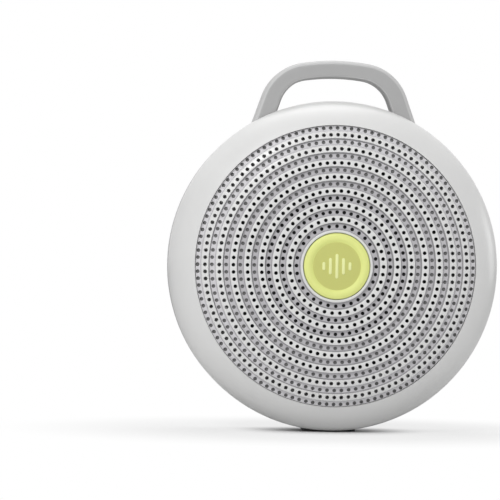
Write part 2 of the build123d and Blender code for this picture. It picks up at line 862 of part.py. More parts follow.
def make_top_plate():
    """Steel disc on the front of the magnet."""
    radius = magnet_diameter / 2 + top_plate_overhang
    return ring(0, radius, at(top_plate_depth), at(top_plate_depth + top_plate_thickness))


def magnet_front():
    return at(top_plate_depth + top_plate_thickness)


def make_magnet():
    """Disc magnet between top plate and yoke."""
    return ring(0, magnet_diameter / 2, magnet_front(), magnet_front() + magnet_thickness)


def make_yoke():
    """Steel cup round the magnet."""
    floor = magnet_front() + magnet_thickness
    bottom = floor + yoke_wall
    outer = yoke_diameter / 2
    return spun_points([
        (outer - yoke_wall, bottom - yoke_depth),
        (outer, bottom - yoke_depth),
        (outer, bottom - yoke_chamfer),
        (outer - yoke_chamfer, bottom),
        (0, bottom),
        (0, floor),
        (outer - yoke_wall, floor),
    ])


def make_gasket():
    """Foam ring between driver and baffle."""
    outer = driver_radius - gasket_inset
    return ring(outer - gasket_width, outer, baffle_back, driver_front)


def terminal_front():
    """Back of the spider's ledge, which carries the tag board."""
    return at(spider_ledge_depth + basket_wall)


def make_terminals():
    """Small tag board on the back of the basket's ledge."""
    tags = Rectangle(terminal_width, terminal_length)
    outline = Rot(0, 0, terminal_angle) * Pos(driver_radius - terminal_inset, 0) * tags
    return slab(outline, terminal_front(), terminal_front() + terminal_thickness)


# ---------------------------------------------------------------- main board and its parts
def make_main_board():
    """Board shaped to the shell, cut out over the battery, round the bosses and by the volume buttons."""
    disc = Circle(main_board_radius)
    top = Rectangle(body_diameter, body_diameter, align=(Align.CENTER, Align.MIN))
    outline = disc & (Pos(0, main_board_bottom) * top)
    below = Rectangle(2 * board_cutout_half_width, body_diameter, align=(Align.CENTER, Align.MAX))
    outline -= Pos(0, board_cutout_top) * below
    notch_height = 2 * (flange_reach() + board_notch_gap)
    notch = Rectangle(body_radius, notch_height, align=(Align.MIN, Align.CENTER))
    outline -= Pos(side_switch_front(), 0) * notch
    for angle in housing_screw_angles:
        outline -= Pos(*on_circle(housing_screw_circle, angle)) * Circle(rear_boss_radius + boss_clearance)
    for x, z in board_post_spots:
        outline -= Pos(x, z) * Circle(small_screw_radius + sliding_gap)
    return slab(outline, main_board_front, main_board_back)


def socket_mouth_x():
    return -(main_board_radius + socket_overhang)


def make_charging_socket():
    """Flat oval metal shell with its tongue, open towards the side."""
    outer = RectangleRounded(socket_height, socket_width, socket_height / 2 - oval_margin)
    inner_height = socket_height - 2 * socket_shell
    inner = RectangleRounded(inner_height, socket_width - 2 * socket_shell, inner_height / 2 - oval_margin)
    tongue = Rectangle(socket_tongue, socket_width - 2 * socket_tongue_margin)
    middle = Pos(socket_depth(), socket_height_place)
    mouth = Plane.YZ.offset(socket_mouth_x())
    tongue_tip = Plane.YZ.offset(socket_mouth_x() + socket_tongue_setback)
    shell = extrude(mouth * middle * outer, socket_length)
    shell -= extrude(mouth * middle * inner, socket_length - socket_back_wall)
    return shell + extrude(tongue_tip * middle * tongue, socket_length - socket_tongue_setback)


def make_charge_light():
    """Clear rod from the board's edge out to the side wall."""
    wall = rear_radius(socket_depth() + light_radius, 0)
    outer = sqrt(wall ** 2 - (light_height_place + light_radius) ** 2) - light_inset
    return side_rod(socket_depth(), light_height_place, light_radius, -outer, light_overlap - main_board_radius)


def make_chip(spot, size):
    """Flat chip on the front of the main board, with legs along two sides."""
    x, z = spot
    width, height, thickness = size
    outline = Pos(x, z) * Rectangle(width, height)
    body = slab(outline, main_board_front - thickness, main_board_front - chip_standoff)
    count = int(height / leg_pitch)
    for index in range(count):
        leg_z = z + (index - (count - 1) / 2) * leg_pitch
        leg = Pos(x, leg_z) * Rectangle(width + 2 * leg_reach, leg_width)
        body += slab(leg, main_board_front - thickness / 2, main_board_front)
    return body


def make_capacitors():
    """Three upright capacitors on the main board."""
    cans = []
    for x, z, radius, height in capacitor_sizes:
        cans.append(rod(x, z, radius, main_board_front - height, main_board_front))
    return Compound(children=cans)


def make_lead_sockets():
    """Three small plug sockets on the main board."""
    width, height, thickness = lead_socket_size
    blocks = []
    for x, z in lead_sockets_at.values():
        outline = Pos(x, z) * Rectangle(width, height)
        blocks.append(slab(outline, main_board_front - thickness, main_board_front))
    return Compound(children=blocks)


# ---------------------------------------------------------------- leads
def make_lead(name, points):
    """Round wire along straight runs joined by arcs as large as the shorter run at each corner allows."""
    spots = [Vector(*point) for point in points]
    radii = []
    for before, corner, after in zip(spots, spots[1:], spots[2:]):
        turn = (corner - before).get_angle(after - corner)
        shorter = min((corner - before).length, (after - corner).length)
        radii.append(arc_share * shorter / tan(radians(turn / 2)))
    path = FilletPolyline(*spots, radius=radii)
    wire = sweep(Plane(path @ 0, z_dir=path % 0) * Circle(lead_diameter / 2), path=path)
    expected = pi * (lead_diameter / 2) ** 2 * path.length
    print(name, "length", round(path.length, 1), "radii", [round(radius, 1) for radius in radii])
    print(name, "volume share", round(wire.volume / expected, 3))
    return wire


def socket_front():
    return main_board_front - lead_socket_size[2]


def socket_side(name):
    """Side of a plug socket that faces the middle of the board."""
    x = lead_sockets_at[name][0]
    return x - lead_socket_size[0] / 2 if x > 0 else x + lead_socket_size[0] / 2


def speaker_lead(shift):
    """Lead from the driver's tags to its plug socket."""
    tag = terminal_front() + terminal_thickness
    x, z = lead_sockets_at["speaker"]
    return [
        (x - 3.0 + shift, tag, 15.2),
        (x - 3.0 + shift, 3.6, 15.2),
        (x - 2.5 + shift, 5.0, 21.0),
        (x - 1.5 + shift, 2.0, 26.0),
        (x - 0.6 + shift, 2.4, z),
        (x - 0.6 + shift, socket_front(), z),
    ]


def battery_lead(shift):
    """Lead from the battery's top, forward through the board's cut-out, to its plug socket."""
    x, z = lead_sockets_at["battery"]
    cell = floor_face - battery_tape - battery_thickness / 2
    return [
        (x + 12.5 + shift, cell, battery_top),
        (x + 12.5 + shift, cell, 3.0 + shift * 0.9),
        (x + 8.5 + shift * 0.7, 9.0, z + shift),
        (socket_side("battery"), 9.0, z + shift),
    ]


def button_lead(index):
    """Lead from the button board, through the slot in the baffle and round the driver to its plug socket."""
    shift = (index - 1) * lead_pitch
    edge = sqrt((button_board_diameter / 2) ** 2 - (5.6 + shift - lead_diameter / 2) ** 2)
    x, z = lead_sockets_at["button"]
    return [
        (5.6 + shift, button_board_front + board_thickness / 2, edge),
        (6.0 + shift, button_board_front - 0.4, 18.0),
        (6.0 + shift, button_board_front + 0.4, 31.5),
        (6.4 + shift, -1.0, 33.6),
        (12.4 + shift, 4.5, 26.0 + shift * 0.3),
        (14.9 + shift * 0.6, 9.2, z + shift * 0.9),
        (socket_side("button"), 9.2, z + shift * 0.9),
    ]


# ---------------------------------------------------------------- battery, pad and foot
def make_battery():
    """Flat pouch cell with rounded long edges."""
    outline = Pos(0, battery_top - battery_height / 2) * Rectangle(battery_width, battery_height)
    back = floor_face - battery_tape
    cell = slab(outline, back - battery_thickness, back)
    return fillet(cell.edges().filter_by(Axis.Z), battery_edge_radius)


def make_battery_tape():
    """Double-sided tape under the cell."""
    strip = Rectangle(battery_width - 2 * tape_side_margin, battery_height - 2 * tape_end_margin)
    return slab(Pos(0, battery_top - battery_height / 2) * strip, floor_face - battery_tape, floor_face)


def make_back_pad():
    """Rubber pad let into the back, with a softened edge."""
    front = pad_face - pad_thickness
    return spun_points([
        (0, front),
        (pad_radius, front),
        (pad_radius, pad_face - pad_edge),
        (pad_radius - pad_edge, pad_face),
        (0, pad_face),
    ])


# ---------------------------------------------------------------- screws
def screw(spot, under_head, radius, length, head_radius, head, forward):
    """Slotted pan-head screw along the sound axis; forward is -1 when its tip points to the front."""
    x, z = spot
    tip = under_head + forward * length
    top = under_head - forward * head
    slot_floor = top + forward * head / 2
    shank = rod(x, z, radius, min(under_head, tip), max(under_head, tip))
    cap = rod(x, z, head_radius, min(under_head, top), max(under_head, top))
    slot = Pos(x, z) * Rectangle(head_radius * slot_length_share, head_radius * slot_width_share)
    return shank + cap - slab(slot, min(top, slot_floor), max(top, slot_floor))


def small_screws(spots, under_head, length, forward):
    """Group of the small screws that hold the boards and the driver."""
    return Compound(children=[
        screw(spot, under_head, small_screw_radius, length, small_head_radius, small_head, forward)
        for spot in spots
    ])


def make_housing_screws():
    """Four long screws that hold the housings together."""
    under = boss_split + screw_web
    return Compound(children=[
        screw(on_circle(housing_screw_circle, angle), under, screw_shank_radius, screw_length,
              screw_head_radius, screw_head, -1)
        for angle in housing_screw_angles
    ])


def make_driver_screws():
    spots = [on_circle(driver_ear_circle, angle) for angle in ear_angles]
    return small_screws(spots, at(driver_flange), driver_screw_length, -1)


def make_main_board_screws():
    return small_screws(board_post_spots, main_board_front, board_screw_length, 1)


def make_button_board_screws():
    spots = [(x, 0) for x in button_screw_places()]
    return small_screws(spots, button_board_front, button_screw_length, 1)


# ---------------------------------------------------------------- write the sub-parts
save("grille", make_grille())
save("grille_cloth", make_cloth())
save("front_housing", make_front_housing())
save("rear_housing", make_rear_housing())
save("power_button", make_power_button())
save("button_board", make_button_board())
save("power_switch", make_power_switch())
save("power_switch_plunger", make_power_plunger())
save("button_board_screws", make_button_board_screws())
save("driver_gasket", make_gasket())
save("driver_basket", make_basket())
save("driver_surround", make_surround())
save("driver_cone", make_cone())
save("driver_dust_cap", make_dust_cap())
save("driver_spider", make_spider())
save("driver_voice_coil", make_voice_coil())
save("driver_top_plate", make_top_plate())
save("driver_magnet", make_magnet())
save("driver_yoke", make_yoke())
save("driver_terminals", make_terminals())
save("driver_screws", make_driver_screws())
save("main_board", make_main_board())
save("main_board_screws", make_main_board_screws())
save("charging_socket", make_charging_socket())
save("charge_light", make_charge_light())
save("controller_chip", make_chip(controller_spot, controller_size))
save("amplifier_chip", make_chip(amplifier_spot, amplifier_size))
save("capacitors", make_capacitors())
save("lead_sockets", make_lead_sockets())
save("volume_up_button", make_volume_button(volume_places()[0]))
save("volume_down_button", make_volume_button(volume_places()[1]))
save("volume_up_plunger", make_side_plunger(volume_places()[0]))
save("volume_down_plunger", make_side_plunger(volume_places()[1]))
save("volume_switches", make_volume_switches())
save("battery", make_battery())
save("battery_tape", make_battery_tape())
save("speaker_lead_red", make_lead("speaker_lead_red", speaker_lead(0)))
save("speaker_lead_black", make_lead("speaker_lead_black", speaker_lead(lead_pitch)))
save("battery_lead_red", make_lead("battery_lead_red", battery_lead(0)))
save("battery_lead_black", make_lead("battery_lead_black", battery_lead(lead_pitch)))
save("button_leads", Compound(children=[make_lead("button_leads", button_lead(index)) for index in range(3)]))
save("housing_screws", make_housing_screws())
save("back_pad", make_back_pad())
save("base_foot", foot_block(0))
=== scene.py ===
import math

import bmesh
import bpy
from bpy.props import (
    FloatProperty,
    FloatVectorProperty,
    IntProperty,
    IntVectorProperty,
    PointerProperty,
)
from mathutils import Matrix, Vector
from mathutils.bvhtree import BVHTree


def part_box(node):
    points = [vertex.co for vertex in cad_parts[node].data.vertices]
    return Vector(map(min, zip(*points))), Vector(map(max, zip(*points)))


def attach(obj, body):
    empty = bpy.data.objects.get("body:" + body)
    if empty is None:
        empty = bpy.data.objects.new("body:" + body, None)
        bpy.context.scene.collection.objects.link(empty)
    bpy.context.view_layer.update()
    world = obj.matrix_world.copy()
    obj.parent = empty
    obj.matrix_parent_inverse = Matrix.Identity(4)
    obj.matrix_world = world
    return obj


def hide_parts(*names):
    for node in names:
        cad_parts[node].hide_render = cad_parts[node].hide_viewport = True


bl_info = {
    "name": "Round sound machine",
    "version": (1, 0, 0),
    "blender": (4, 5, 0),
    "location": "View3D > Sidebar > Sound machine",
    "description": "Dresses the frame of a small round sound machine on a studio floor",
    "category": "Object",
}

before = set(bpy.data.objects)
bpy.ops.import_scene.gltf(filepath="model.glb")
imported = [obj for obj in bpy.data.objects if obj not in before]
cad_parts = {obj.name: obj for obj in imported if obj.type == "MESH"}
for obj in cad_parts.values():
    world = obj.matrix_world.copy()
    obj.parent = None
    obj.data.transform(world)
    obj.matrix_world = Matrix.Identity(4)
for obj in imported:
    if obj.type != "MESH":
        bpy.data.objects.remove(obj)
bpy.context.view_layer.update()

MM = 0.001


# ---------------------------------------------------------------- places taken from the frame
def half_width(name):
    """Half the width of a node, which is its radius where it is round about the sound axis."""
    low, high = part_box(name)
    return (high.x - low.x) / 2


def grille_edge():
    """Outer radius of the grille."""
    return half_width("grille")


def body_radius():
    """Widest radius of the front rim."""
    return half_width("front_housing")


def axis_height():
    """Height of the sound axis above the floor."""
    low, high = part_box("grille")
    return (low.z + high.z) / 2


# ---------------------------------------------------------------- settings
def length_setting(name, description, millimetres):
    """Length, with its default in millimetres."""
    default = millimetres * MM
    return FloatProperty(
        name=name, description=description, default=default, unit="LENGTH", precision=5
    )


def angle_setting(name, description, degrees):
    """Angle, with its default in degrees."""
    default = math.radians(degrees)
    return FloatProperty(name=name, description=description, default=default, unit="ROTATION")


def power_setting(name, description, watts):
    """Power of a lamp."""
    return FloatProperty(name=name, description=description, default=watts, subtype="POWER")


def colour_setting(name, description, default):
    """Colour as three numbers from 0 to 1."""
    return FloatVectorProperty(
        name=name, description=description, size=3, default=default, subtype="COLOR", min=0, max=1
    )


class GrilleSettings(bpy.types.PropertyGroup):
    """Sizes of the domed grille, its grooves and its rings of holes."""

    flat_radius: length_setting("Flat radius", "Flat middle of the dome", 25)
    dome_depth: length_setting("Dome depth", "Ridge tips back to the widest circle", 11.5)
    wall: length_setting("Wall", "Thickness of the moulding at a ridge", 1.4)
    bore_radius: length_setting("Bore radius", "Opening for the power button", 9.0)
    collar_width: length_setting("Collar width", "Raised collar round the button", 0.7)
    collar_height: length_setting("Collar height", "Collar ahead of the ridges", 0.3)
    guide_wall: length_setting("Guide wall", "Sleeve behind the collar", 1.0)
    guide_length: length_setting("Guide length", "Ridge tips to the end of the sleeve", 2.1)
    first_ring: length_setting("First ring", "Radius of the innermost ring of holes", 10.7)
    last_ring_inset: length_setting("Last ring inset", "Outermost ring inside the edge", 0.64)
    holes: IntVectorProperty(
        name="Holes",
        description="Holes in each ring, from the inside out",
        size=15,
        default=(32, 38, 48, 50, 60, 66, 72, 78, 84, 90, 96, 102, 108, 116, 124),
    )
    first_dimpled: IntProperty(
        name="First dimpled ring",
        description="From this ring out the grooves have blind dimples",
        default=7,
    )
    hole_radius: length_setting("Hole radius", "Radius of a hole", 0.5)
    hole_round: length_setting("Hole edge", "Softened edge of a hole", 0.05)
    dimple_depth: length_setting("Dimple depth", "Depth of a blind dimple", 0.36)
    groove_depth: length_setting("Groove depth", "Depth of a groove at its middle", 0.95)
    floor_in: length_setting("Floor inwards", "Middle of a groove to its floor's inner edge", 0.68)
    floor_out: length_setting("Floor outwards", "Middle of a groove to its floor's outer edge", 0.6)
    mouth_in: length_setting("Mouth inwards", "Middle of a groove to the ridge inside it", 0.95)
    mouth_out: length_setting("Mouth outwards", "Middle of a groove to the ridge outside it", 1.0)
    edge_gap: length_setting("Edge gap", "Step at the edge that leaves a dark joint", 0.06)
    edge_drop: length_setting("Edge drop", "Depth of that step", 0.45)
    ridge_round: length_setting("Ridge edge", "Rounded edge of a ridge", 0.1)
    post_inset: length_setting("Post inset", "Fixing posts inside the edge", 5)
    post_radius: length_setting("Post radius", "Radius of a fixing post", 1.6)


class MarkSettings(bpy.types.PropertyGroup):
    """Raised marks on the buttons."""

    bar_heights: FloatVectorProperty(
        name="Bar heights",
        description="Heights of the bars on the power button",
        size=5,
        default=(2.2 * MM, 4.4 * MM, 6.6 * MM, 4.4 * MM, 2.2 * MM),
        unit="LENGTH",
        precision=5,
    )
    bar_width: length_setting("Bar width", "Width of a bar", 0.8)
    bar_pitch: length_setting("Bar pitch", "Distance from bar to bar", 1.75)
    relief: length_setting("Relief", "Height of a mark above its button", 0.15)
    dish_radius: length_setting("Dish radius", "Radius of the power button's dish", 6.5)
    dish_depth: length_setting("Dish depth", "Depth of the power button's dish", 0.35)
    sign_length: length_setting("Sign length", "Length of a plus or minus stroke", 2.4)
    sign_relief: length_setting("Sign relief", "Height of a sign above its button", 0.25)
    sign_width: length_setting("Sign width", "Width of a plus or minus stroke", 0.6)


class ColourSettings(bpy.types.PropertyGroup):
    """Main colours of the outside."""

    front: colour_setting("Front", "Rim and ridges", (0.76, 0.76, 0.755))
    # Groove colours: painted shade in the grooves, darker than the front, lighter in the outer
    # grooves
    groove: colour_setting("Groove", "Floors of the grooves", (0.52, 0.51, 0.53))
    outer_groove_painted_shade: colour_setting("Outer groove", "Floors of the outer grooves", (0.7, 0.69, 0.71))
    # Groove wall colour: painted shade on the grooves' outer walls
    groove_wall_painted_shade: colour_setting("Groove wall", "Outer walls of the grooves", (0.36, 0.355, 0.365))
    shell: colour_setting("Shell", "Rear shell and loop", (0.58, 0.58, 0.58))
    # Loop colour: painted shade on the loop's flat front and window walls
    loop_painted_shade: colour_setting("Loop front", "Flat front of the loop", (0.42, 0.42, 0.42))
    button: colour_setting("Button", "Rim of the power button", (0.82, 0.875, 0.285))
    dish: colour_setting("Dish", "Dish of the power button", (0.6, 0.615, 0.175))
    mark: colour_setting("Mark", "Raised mark on the power button", (0.88, 0.92, 0.42))
    sign: colour_setting("Sign", "Raised signs on the volume buttons", (0.3, 0.3, 0.3))


class StageSettings(bpy.types.PropertyGroup):
    """Camera, lamps and floor."""

    distance: FloatProperty(
        name="Camera distance", description="Camera to the machine", default=1.0, unit="LENGTH"
    )
    azimuth: angle_setting("Camera azimuth", "Turn of the camera about Z from straight ahead", -3.7)
    side: length_setting("Camera side shift", "Aim of the camera beside the sound axis", -22.05)
    height: length_setting("Camera height", "Height of the camera and its aim", 48.79)
    roll: angle_setting("Camera roll", "Turn of the camera about its own line of sight", 0.85)
    focal: FloatProperty(
        name="Focal length",
        description="Focal length in millimetres on the camera's sensor",
        default=264.8,
    )
    top_power: power_setting("Top lamp", "Power of the lamp overhead", 0.7)
    key_power: power_setting("Key lamp", "Power of the lamp in front and above", 7.6)
    fill_power: power_setting("Fill lamp", "Power of the low lamp in front", 4.4)
    right_power: power_setting("Right lamp", "Power of the lamp at the right", 1.35)
    back_power: power_setting("Back lamp", "Power of the lamp behind and above", 3.4)
    ambient: FloatProperty(
        name="Ambient", description="Strength of the surrounding light", default=0.34, min=0
    )
    floor_size: FloatProperty(
        name="Floor size", description="Side of the floor", default=6.0, unit="LENGTH"
    )


# ---------------------------------------------------------------- shader nodes
def feed(tree, socket, value):
    """Link an output to a socket, or write a plain value on it."""
    if isinstance(value, bpy.types.NodeSocket):
        tree.links.new(value, socket)
    else:
        socket.default_value = value


def math_node(tree, operation, *values, clamp=False):
    """Result of a maths node."""
    node = tree.nodes.new("ShaderNodeMath")
    node.operation = operation
    node.use_clamp = clamp
    for socket, value in zip(node.inputs, values):
        feed(tree, socket, value)
    return node.outputs[0]


def plus(tree, first, second, clamp=False):
    return math_node(tree, "ADD", first, second, clamp=clamp)


def minus(tree, first, second, clamp=False):
    return math_node(tree, "SUBTRACT", first, second, clamp=clamp)


def times(tree, first, second):
    return math_node(tree, "MULTIPLY", first, second)


def swing(tree, value, width):
    """Map 0..1 to a swing about 0 of a whole width."""
    return times(tree, minus(tree, value, 0.5), width)


def vector_node(tree, operation, *values, output="Vector"):
    """Result of a vector maths node."""
    node = tree.nodes.new("ShaderNodeVectorMath")
    node.operation = operation
    for socket, value in zip(node.inputs, values):
        feed(tree, socket, value)
    return node.outputs[output]


def components(tree, vector):
    """X, Y and Z of a vector."""
    split = tree.nodes.new("ShaderNodeSeparateXYZ")
    tree.links.new(vector, split.inputs[0])
    return split.outputs


def object_place(tree):
    """Object coordinates, in the frame's metres."""
    return tree.nodes.new("ShaderNodeTexCoord").outputs["Object"]


def axis_radius(tree, place):
    """Distance from the sound axis."""
    parts = components(tree, place)
    rise = minus(tree, parts["Z"], axis_height())
    squares = [math_node(tree, "POWER", value, 2.0) for value in (parts["X"], rise)]
    return math_node(tree, "SQRT", plus(tree, *squares))


def noise(tree, place, scale, detail=2.0, roughness=0.5):
    """Fractal noise from 0 to 1."""
    node = tree.nodes.new("ShaderNodeTexNoise")
    tree.links.new(place, node.inputs["Vector"])
    feed(tree, node.inputs["Scale"], scale)
    node.inputs["Detail"].default_value = detail
    node.inputs["Roughness"].default_value = roughness
    return node.outputs["Fac"]


def cells(tree, place, scale, feature="F1"):
    """Distance within random cells, from their points or from their borders."""
    node = tree.nodes.new("ShaderNodeTexVoronoi")
    node.feature = feature
    tree.links.new(place, node.inputs["Vector"])
    feed(tree, node.inputs["Scale"], scale)
    return node.outputs["Distance"]


def spread(tree, value, low, high):
    """Map 0..1 to a range."""
    node = tree.nodes.new("ShaderNodeMapRange")
    feed(tree, node.inputs["Value"], value)
    feed(tree, node.inputs["To Min"], low)
    feed(tree, node.inputs["To Max"], high)
    return node.outputs["Result"]


def narrow(tree, value, low, high):
    """Smooth step of a value, from 0 at one limit to 1 at the other."""
    node = tree.nodes.new("ShaderNodeMapRange")
    node.interpolation_type = "SMOOTHSTEP"
    feed(tree, node.inputs["Value"], value)
    feed(tree, node.inputs["From Min"], low)
    feed(tree, node.inputs["From Max"], high)
    return node.outputs["Result"]


def fade(tree, value, low, high):
    """Smooth step of a value, from 1 at one limit to 0 at the other."""
    return minus(tree, 1.0, narrow(tree, value, low, high))


def blend_colour(tree, factor, first, second):
    """Mix of two colours."""
    node = tree.nodes.new("ShaderNodeMix")
    node.data_type = "RGBA"
    feed(tree, node.inputs["Factor"], factor)
    feed(tree, node.inputs["A"], first)
    feed(tree, node.inputs["B"], second)
    return node.outputs["Result"]


def shade_colour(tree, colour, amount):
    """Colour multiplied by a number."""
    node = tree.nodes.new("ShaderNodeVectorMath")
    node.operation = "SCALE"
    feed(tree, node.inputs[0], colour)
    feed(tree, node.inputs["Scale"], amount)
    return node.outputs[0]


# ---------------------------------------------------------------- shader node groups
def socket_value(value):
    """Value for a socket, where a colour needs a fourth number."""
    return (*value, 1) if hasattr(value, "__len__") else value


def new_group(name, inputs, values=("Roughness", "Height")):
    """Node group of an effect, which puts out a colour and named values.

    Returns the group, its inputs' outlets, its end sockets and the object coordinates.
    """
    tree = bpy.data.node_groups.new(name, "ShaderNodeTree")

    def add_socket(socket, in_out, is_colour):
        kind = "NodeSocketColor" if is_colour else "NodeSocketFloat"
        return tree.interface.new_socket(name=socket, in_out=in_out, socket_type=kind)

    for socket, default in inputs.items():
        made = add_socket(socket, "INPUT", isinstance(default, tuple))
        made.default_value = socket_value(default)
    add_socket("Colour", "OUTPUT", True)
    for socket in values:
        add_socket(socket, "OUTPUT", False)
    start = tree.nodes.new("NodeGroupInput")
    end = tree.nodes.new("NodeGroupOutput")
    return tree, start.outputs, end.inputs, object_place(tree)


def moulded_group():
    """Moulded plastic or rubber: slow tone changes, fine spark-eroded grain and uneven gloss."""
    inputs = {
        "Colour": (0.8, 0.8, 0.8),
        "Tone change": 0.02,
        "Grain scale": 6000.0,
        "Gloss change": 0.08,
        "Roughness": 0.45,
    }
    tree, given, end, place = new_group("Moulded grain", inputs)
    slow = noise(tree, place, scale=90.0, detail=3.0)
    change = times(tree, given["Tone change"], 2.0)
    tone = spread(tree, slow, minus(tree, 1.0, change), plus(tree, 1.0, change))
    feed(tree, end["Colour"], shade_colour(tree, given["Colour"], tone))
    patch = noise(tree, place, scale=210.0, detail=4.0, roughness=0.6)
    dull = swing(tree, patch, times(tree, given["Gloss change"], 2.0))
    feed(tree, end["Roughness"], plus(tree, given["Roughness"], dull, clamp=True))
    grain = noise(tree, place, scale=given["Grain scale"], detail=3.0, roughness=0.65)
    feed(tree, end["Height"], grain)
    return tree


def woven_group():
    """Plain weave of round threads that run along X and Z."""
    inputs = {"Colour": (0.05, 0.05, 0.05), "Threads per metre": 2500.0}
    tree, given, end, place = new_group("Plain weave", inputs)
    parts = components(tree, place)
    half_turn = times(tree, given["Threads per metre"], math.pi)
    across, along = [
        math_node(tree, "SINE", times(tree, parts[axis], half_turn)) for axis in ("X", "Z")
    ]
    over = times(tree, across, along)
    crossing = spread(tree, math_node(tree, "ABSOLUTE", over), 0.35, 1.0)
    upper = spread(tree, math_node(tree, "SIGN", over), 0.75, 1.0)
    lift = times(tree, upper, crossing)
    fuzz = spread(tree, noise(tree, place, scale=3200.0, detail=3.0), 0.75, 1.25)
    # Colour times the threads' height: painted shade at thread edges and under crossing threads
    feed(tree, end["Colour"], shade_colour(tree, given["Colour"], times(tree, lift, fuzz)))
    feed(tree, end["Roughness"], spread(tree, fuzz, 0.5, 0.9))
    feed(tree, end["Height"], lift)
    return tree


def metal_group():
    """Worked metal: fine lines round the sound axis, stains and uneven polish."""
    inputs = {
        "Colour": (0.6, 0.6, 0.6),
        "Lines per metre": 9000.0,
        "Line strength": 0.12,
        "Roughness": 0.3,
    }
    tree, given, end, place = new_group("Worked metal", inputs)
    rings = tree.nodes.new("ShaderNodeCombineXYZ")
    tree.links.new(axis_radius(tree, place), rings.inputs["X"])
    tree.links.new(components(tree, place)["Y"], rings.inputs["Y"])
    lines = noise(tree, rings.outputs[0], scale=given["Lines per metre"], detail=2.0)
    stain = noise(tree, place, scale=160.0, detail=4.0, roughness=0.6)
    line_swing = swing(tree, lines, given["Line strength"])
    tone = plus(tree, spread(tree, stain, 0.86, 1.1), line_swing)
    feed(tree, end["Colour"], shade_colour(tree, given["Colour"], tone))
    dull = plus(tree, given["Roughness"], times(tree, line_swing, 1.5))
    feed(tree, end["Roughness"], plus(tree, dull, swing(tree, stain, 0.2), clamp=True))
    feed(tree, end["Height"], lines)
    return tree


def fibre_group():
    """Pressed fibres or open foam: felted lines, pores and specks."""
    inputs = {
        "Colour": (0.1, 0.1, 0.1),
        "Fibre scale": 1800.0,
        "Pore share": 0.3,
        "Speck colour": (0.2, 0.2, 0.2),
    }
    tree, given, end, place = new_group("Fibres and pores", inputs)
    strands = noise(tree, place, scale=given["Fibre scale"], detail=6.0, roughness=0.75)
    pit = narrow(tree, cells(tree, place, given["Fibre scale"]), 0.0, given["Pore share"])
    height = times(tree, strands, pit)
    speck = narrow(tree, strands, 0.6, 0.72)
    # Colour follows the height: the strands' own grain, and painted shade in the pores
    felted = shade_colour(tree, given["Colour"], spread(tree, height, 0.6, 1.35))
    feed(tree, end["Colour"], blend_colour(tree, speck, felted, given["Speck colour"]))
    feed(tree, end["Roughness"], spread(tree, strands, 0.75, 1.0))
    feed(tree, end["Height"], height)
    return tree


def board_group():
    """Solder mask over copper: raised tracks, bare pads and drilled vias."""
    inputs = {"Mask": (0.04, 0.22, 0.1), "Copper": (0.7, 0.5, 0.2), "Track scale": 260.0}
    values = ("Roughness", "Metallic", "Height")
    tree, given, end, place = new_group("Circuit board", inputs, values)
    borders = cells(tree, place, given["Track scale"], feature="DISTANCE_TO_EDGE")
    track = fade(tree, borders, 0.05, 0.09)
    dots = cells(tree, place, times(tree, given["Track scale"], 1.3))
    pad = fade(tree, dots, 0.16, 0.2)
    hole = fade(tree, dots, 0.06, 0.08)
    sheen = spread(tree, noise(tree, place, scale=400.0, detail=2.0), 0.85, 1.15)
    glossy = shade_colour(tree, given["Mask"], sheen)
    lighter = shade_colour(tree, given["Mask"], 1.9)
    over_track = blend_colour(tree, times(tree, track, 0.6), glossy, lighter)
    padded = blend_colour(tree, pad, over_track, given["Copper"])
    feed(tree, end["Colour"], blend_colour(tree, hole, padded, (0.01, 0.01, 0.01, 1)))
    feed(tree, end["Metallic"], minus(tree, pad, hole, clamp=True))
    feed(tree, end["Roughness"], spread(tree, pad, 0.28, 0.4))
    feed(tree, end["Height"], math_node(tree, "MAXIMUM", track, pad))
    return tree


def foil_group():
    """Creased foil: broad facets, fine wrinkles and scuffs."""
    inputs = {"Colour": (0.6, 0.6, 0.62), "Crease scale": 220.0, "Roughness": 0.3}
    tree, given, end, place = new_group("Creased foil", inputs)
    facets = cells(tree, place, given["Crease scale"])
    wrinkle = noise(tree, place, scale=times(tree, given["Crease scale"], 3.0), detail=4.0)
    scuff = narrow(tree, noise(tree, place, scale=520.0, detail=5.0, roughness=0.7), 0.55, 0.7)
    tone = spread(tree, wrinkle, 0.9, 1.1)
    feed(tree, end["Colour"], shade_colour(tree, given["Colour"], tone))
    scuffed = plus(tree, given["Roughness"], times(tree, scuff, 0.25), clamp=True)
    feed(tree, end["Roughness"], scuffed)
    feed(tree, end["Height"], plus(tree, facets, times(tree, wrinkle, 0.4)))
    return tree


GROUPS = {}
GROUP_MAKERS = {
    "moulded": moulded_group,
    "woven": woven_group,
    "metal": metal_group,
    "fibre": fibre_group,
    "board": board_group,
    "foil": foil_group,
}


def effect(name):
    """Shader node group of an effect, built the first time it is asked for."""
    if name not in GROUPS:
        GROUPS[name] = GROUP_MAKERS[name]()
    return GROUPS[name]


# ---------------------------------------------------------------- materials
def dress(name, kind, values, bump=0.01, metallic=0.0, **own):
    """Material from one effect, with the height of its relief in millimetres.

    The effect's outputs feed the shader, and own holds the shader's plain values.
    """
    material = bpy.data.materials.get(name)
    if material:
        return material
    material = bpy.data.materials.new(name)
    material.use_nodes = True
    tree = material.node_tree
    shader = tree.nodes["Principled BSDF"]
    group = tree.nodes.new("ShaderNodeGroup")
    group.node_tree = effect(kind)
    for socket, value in values.items():
        group.inputs[socket].default_value = socket_value(value)
    tree.links.new(group.outputs["Colour"], shader.inputs["Base Color"])
    tree.links.new(group.outputs["Roughness"], shader.inputs["Roughness"])
    feed(tree, shader.inputs["Metallic"], group.outputs.get("Metallic") or metallic)
    relief = tree.nodes.new("ShaderNodeBump")
    relief.inputs["Distance"].default_value = bump * MM
    tree.links.new(group.outputs["Height"], relief.inputs["Height"])
    tree.links.new(relief.outputs["Normal"], shader.inputs["Normal"])
    for socket, value in own.items():
        shader.inputs[socket.replace("_", " ")].default_value = value
    return material


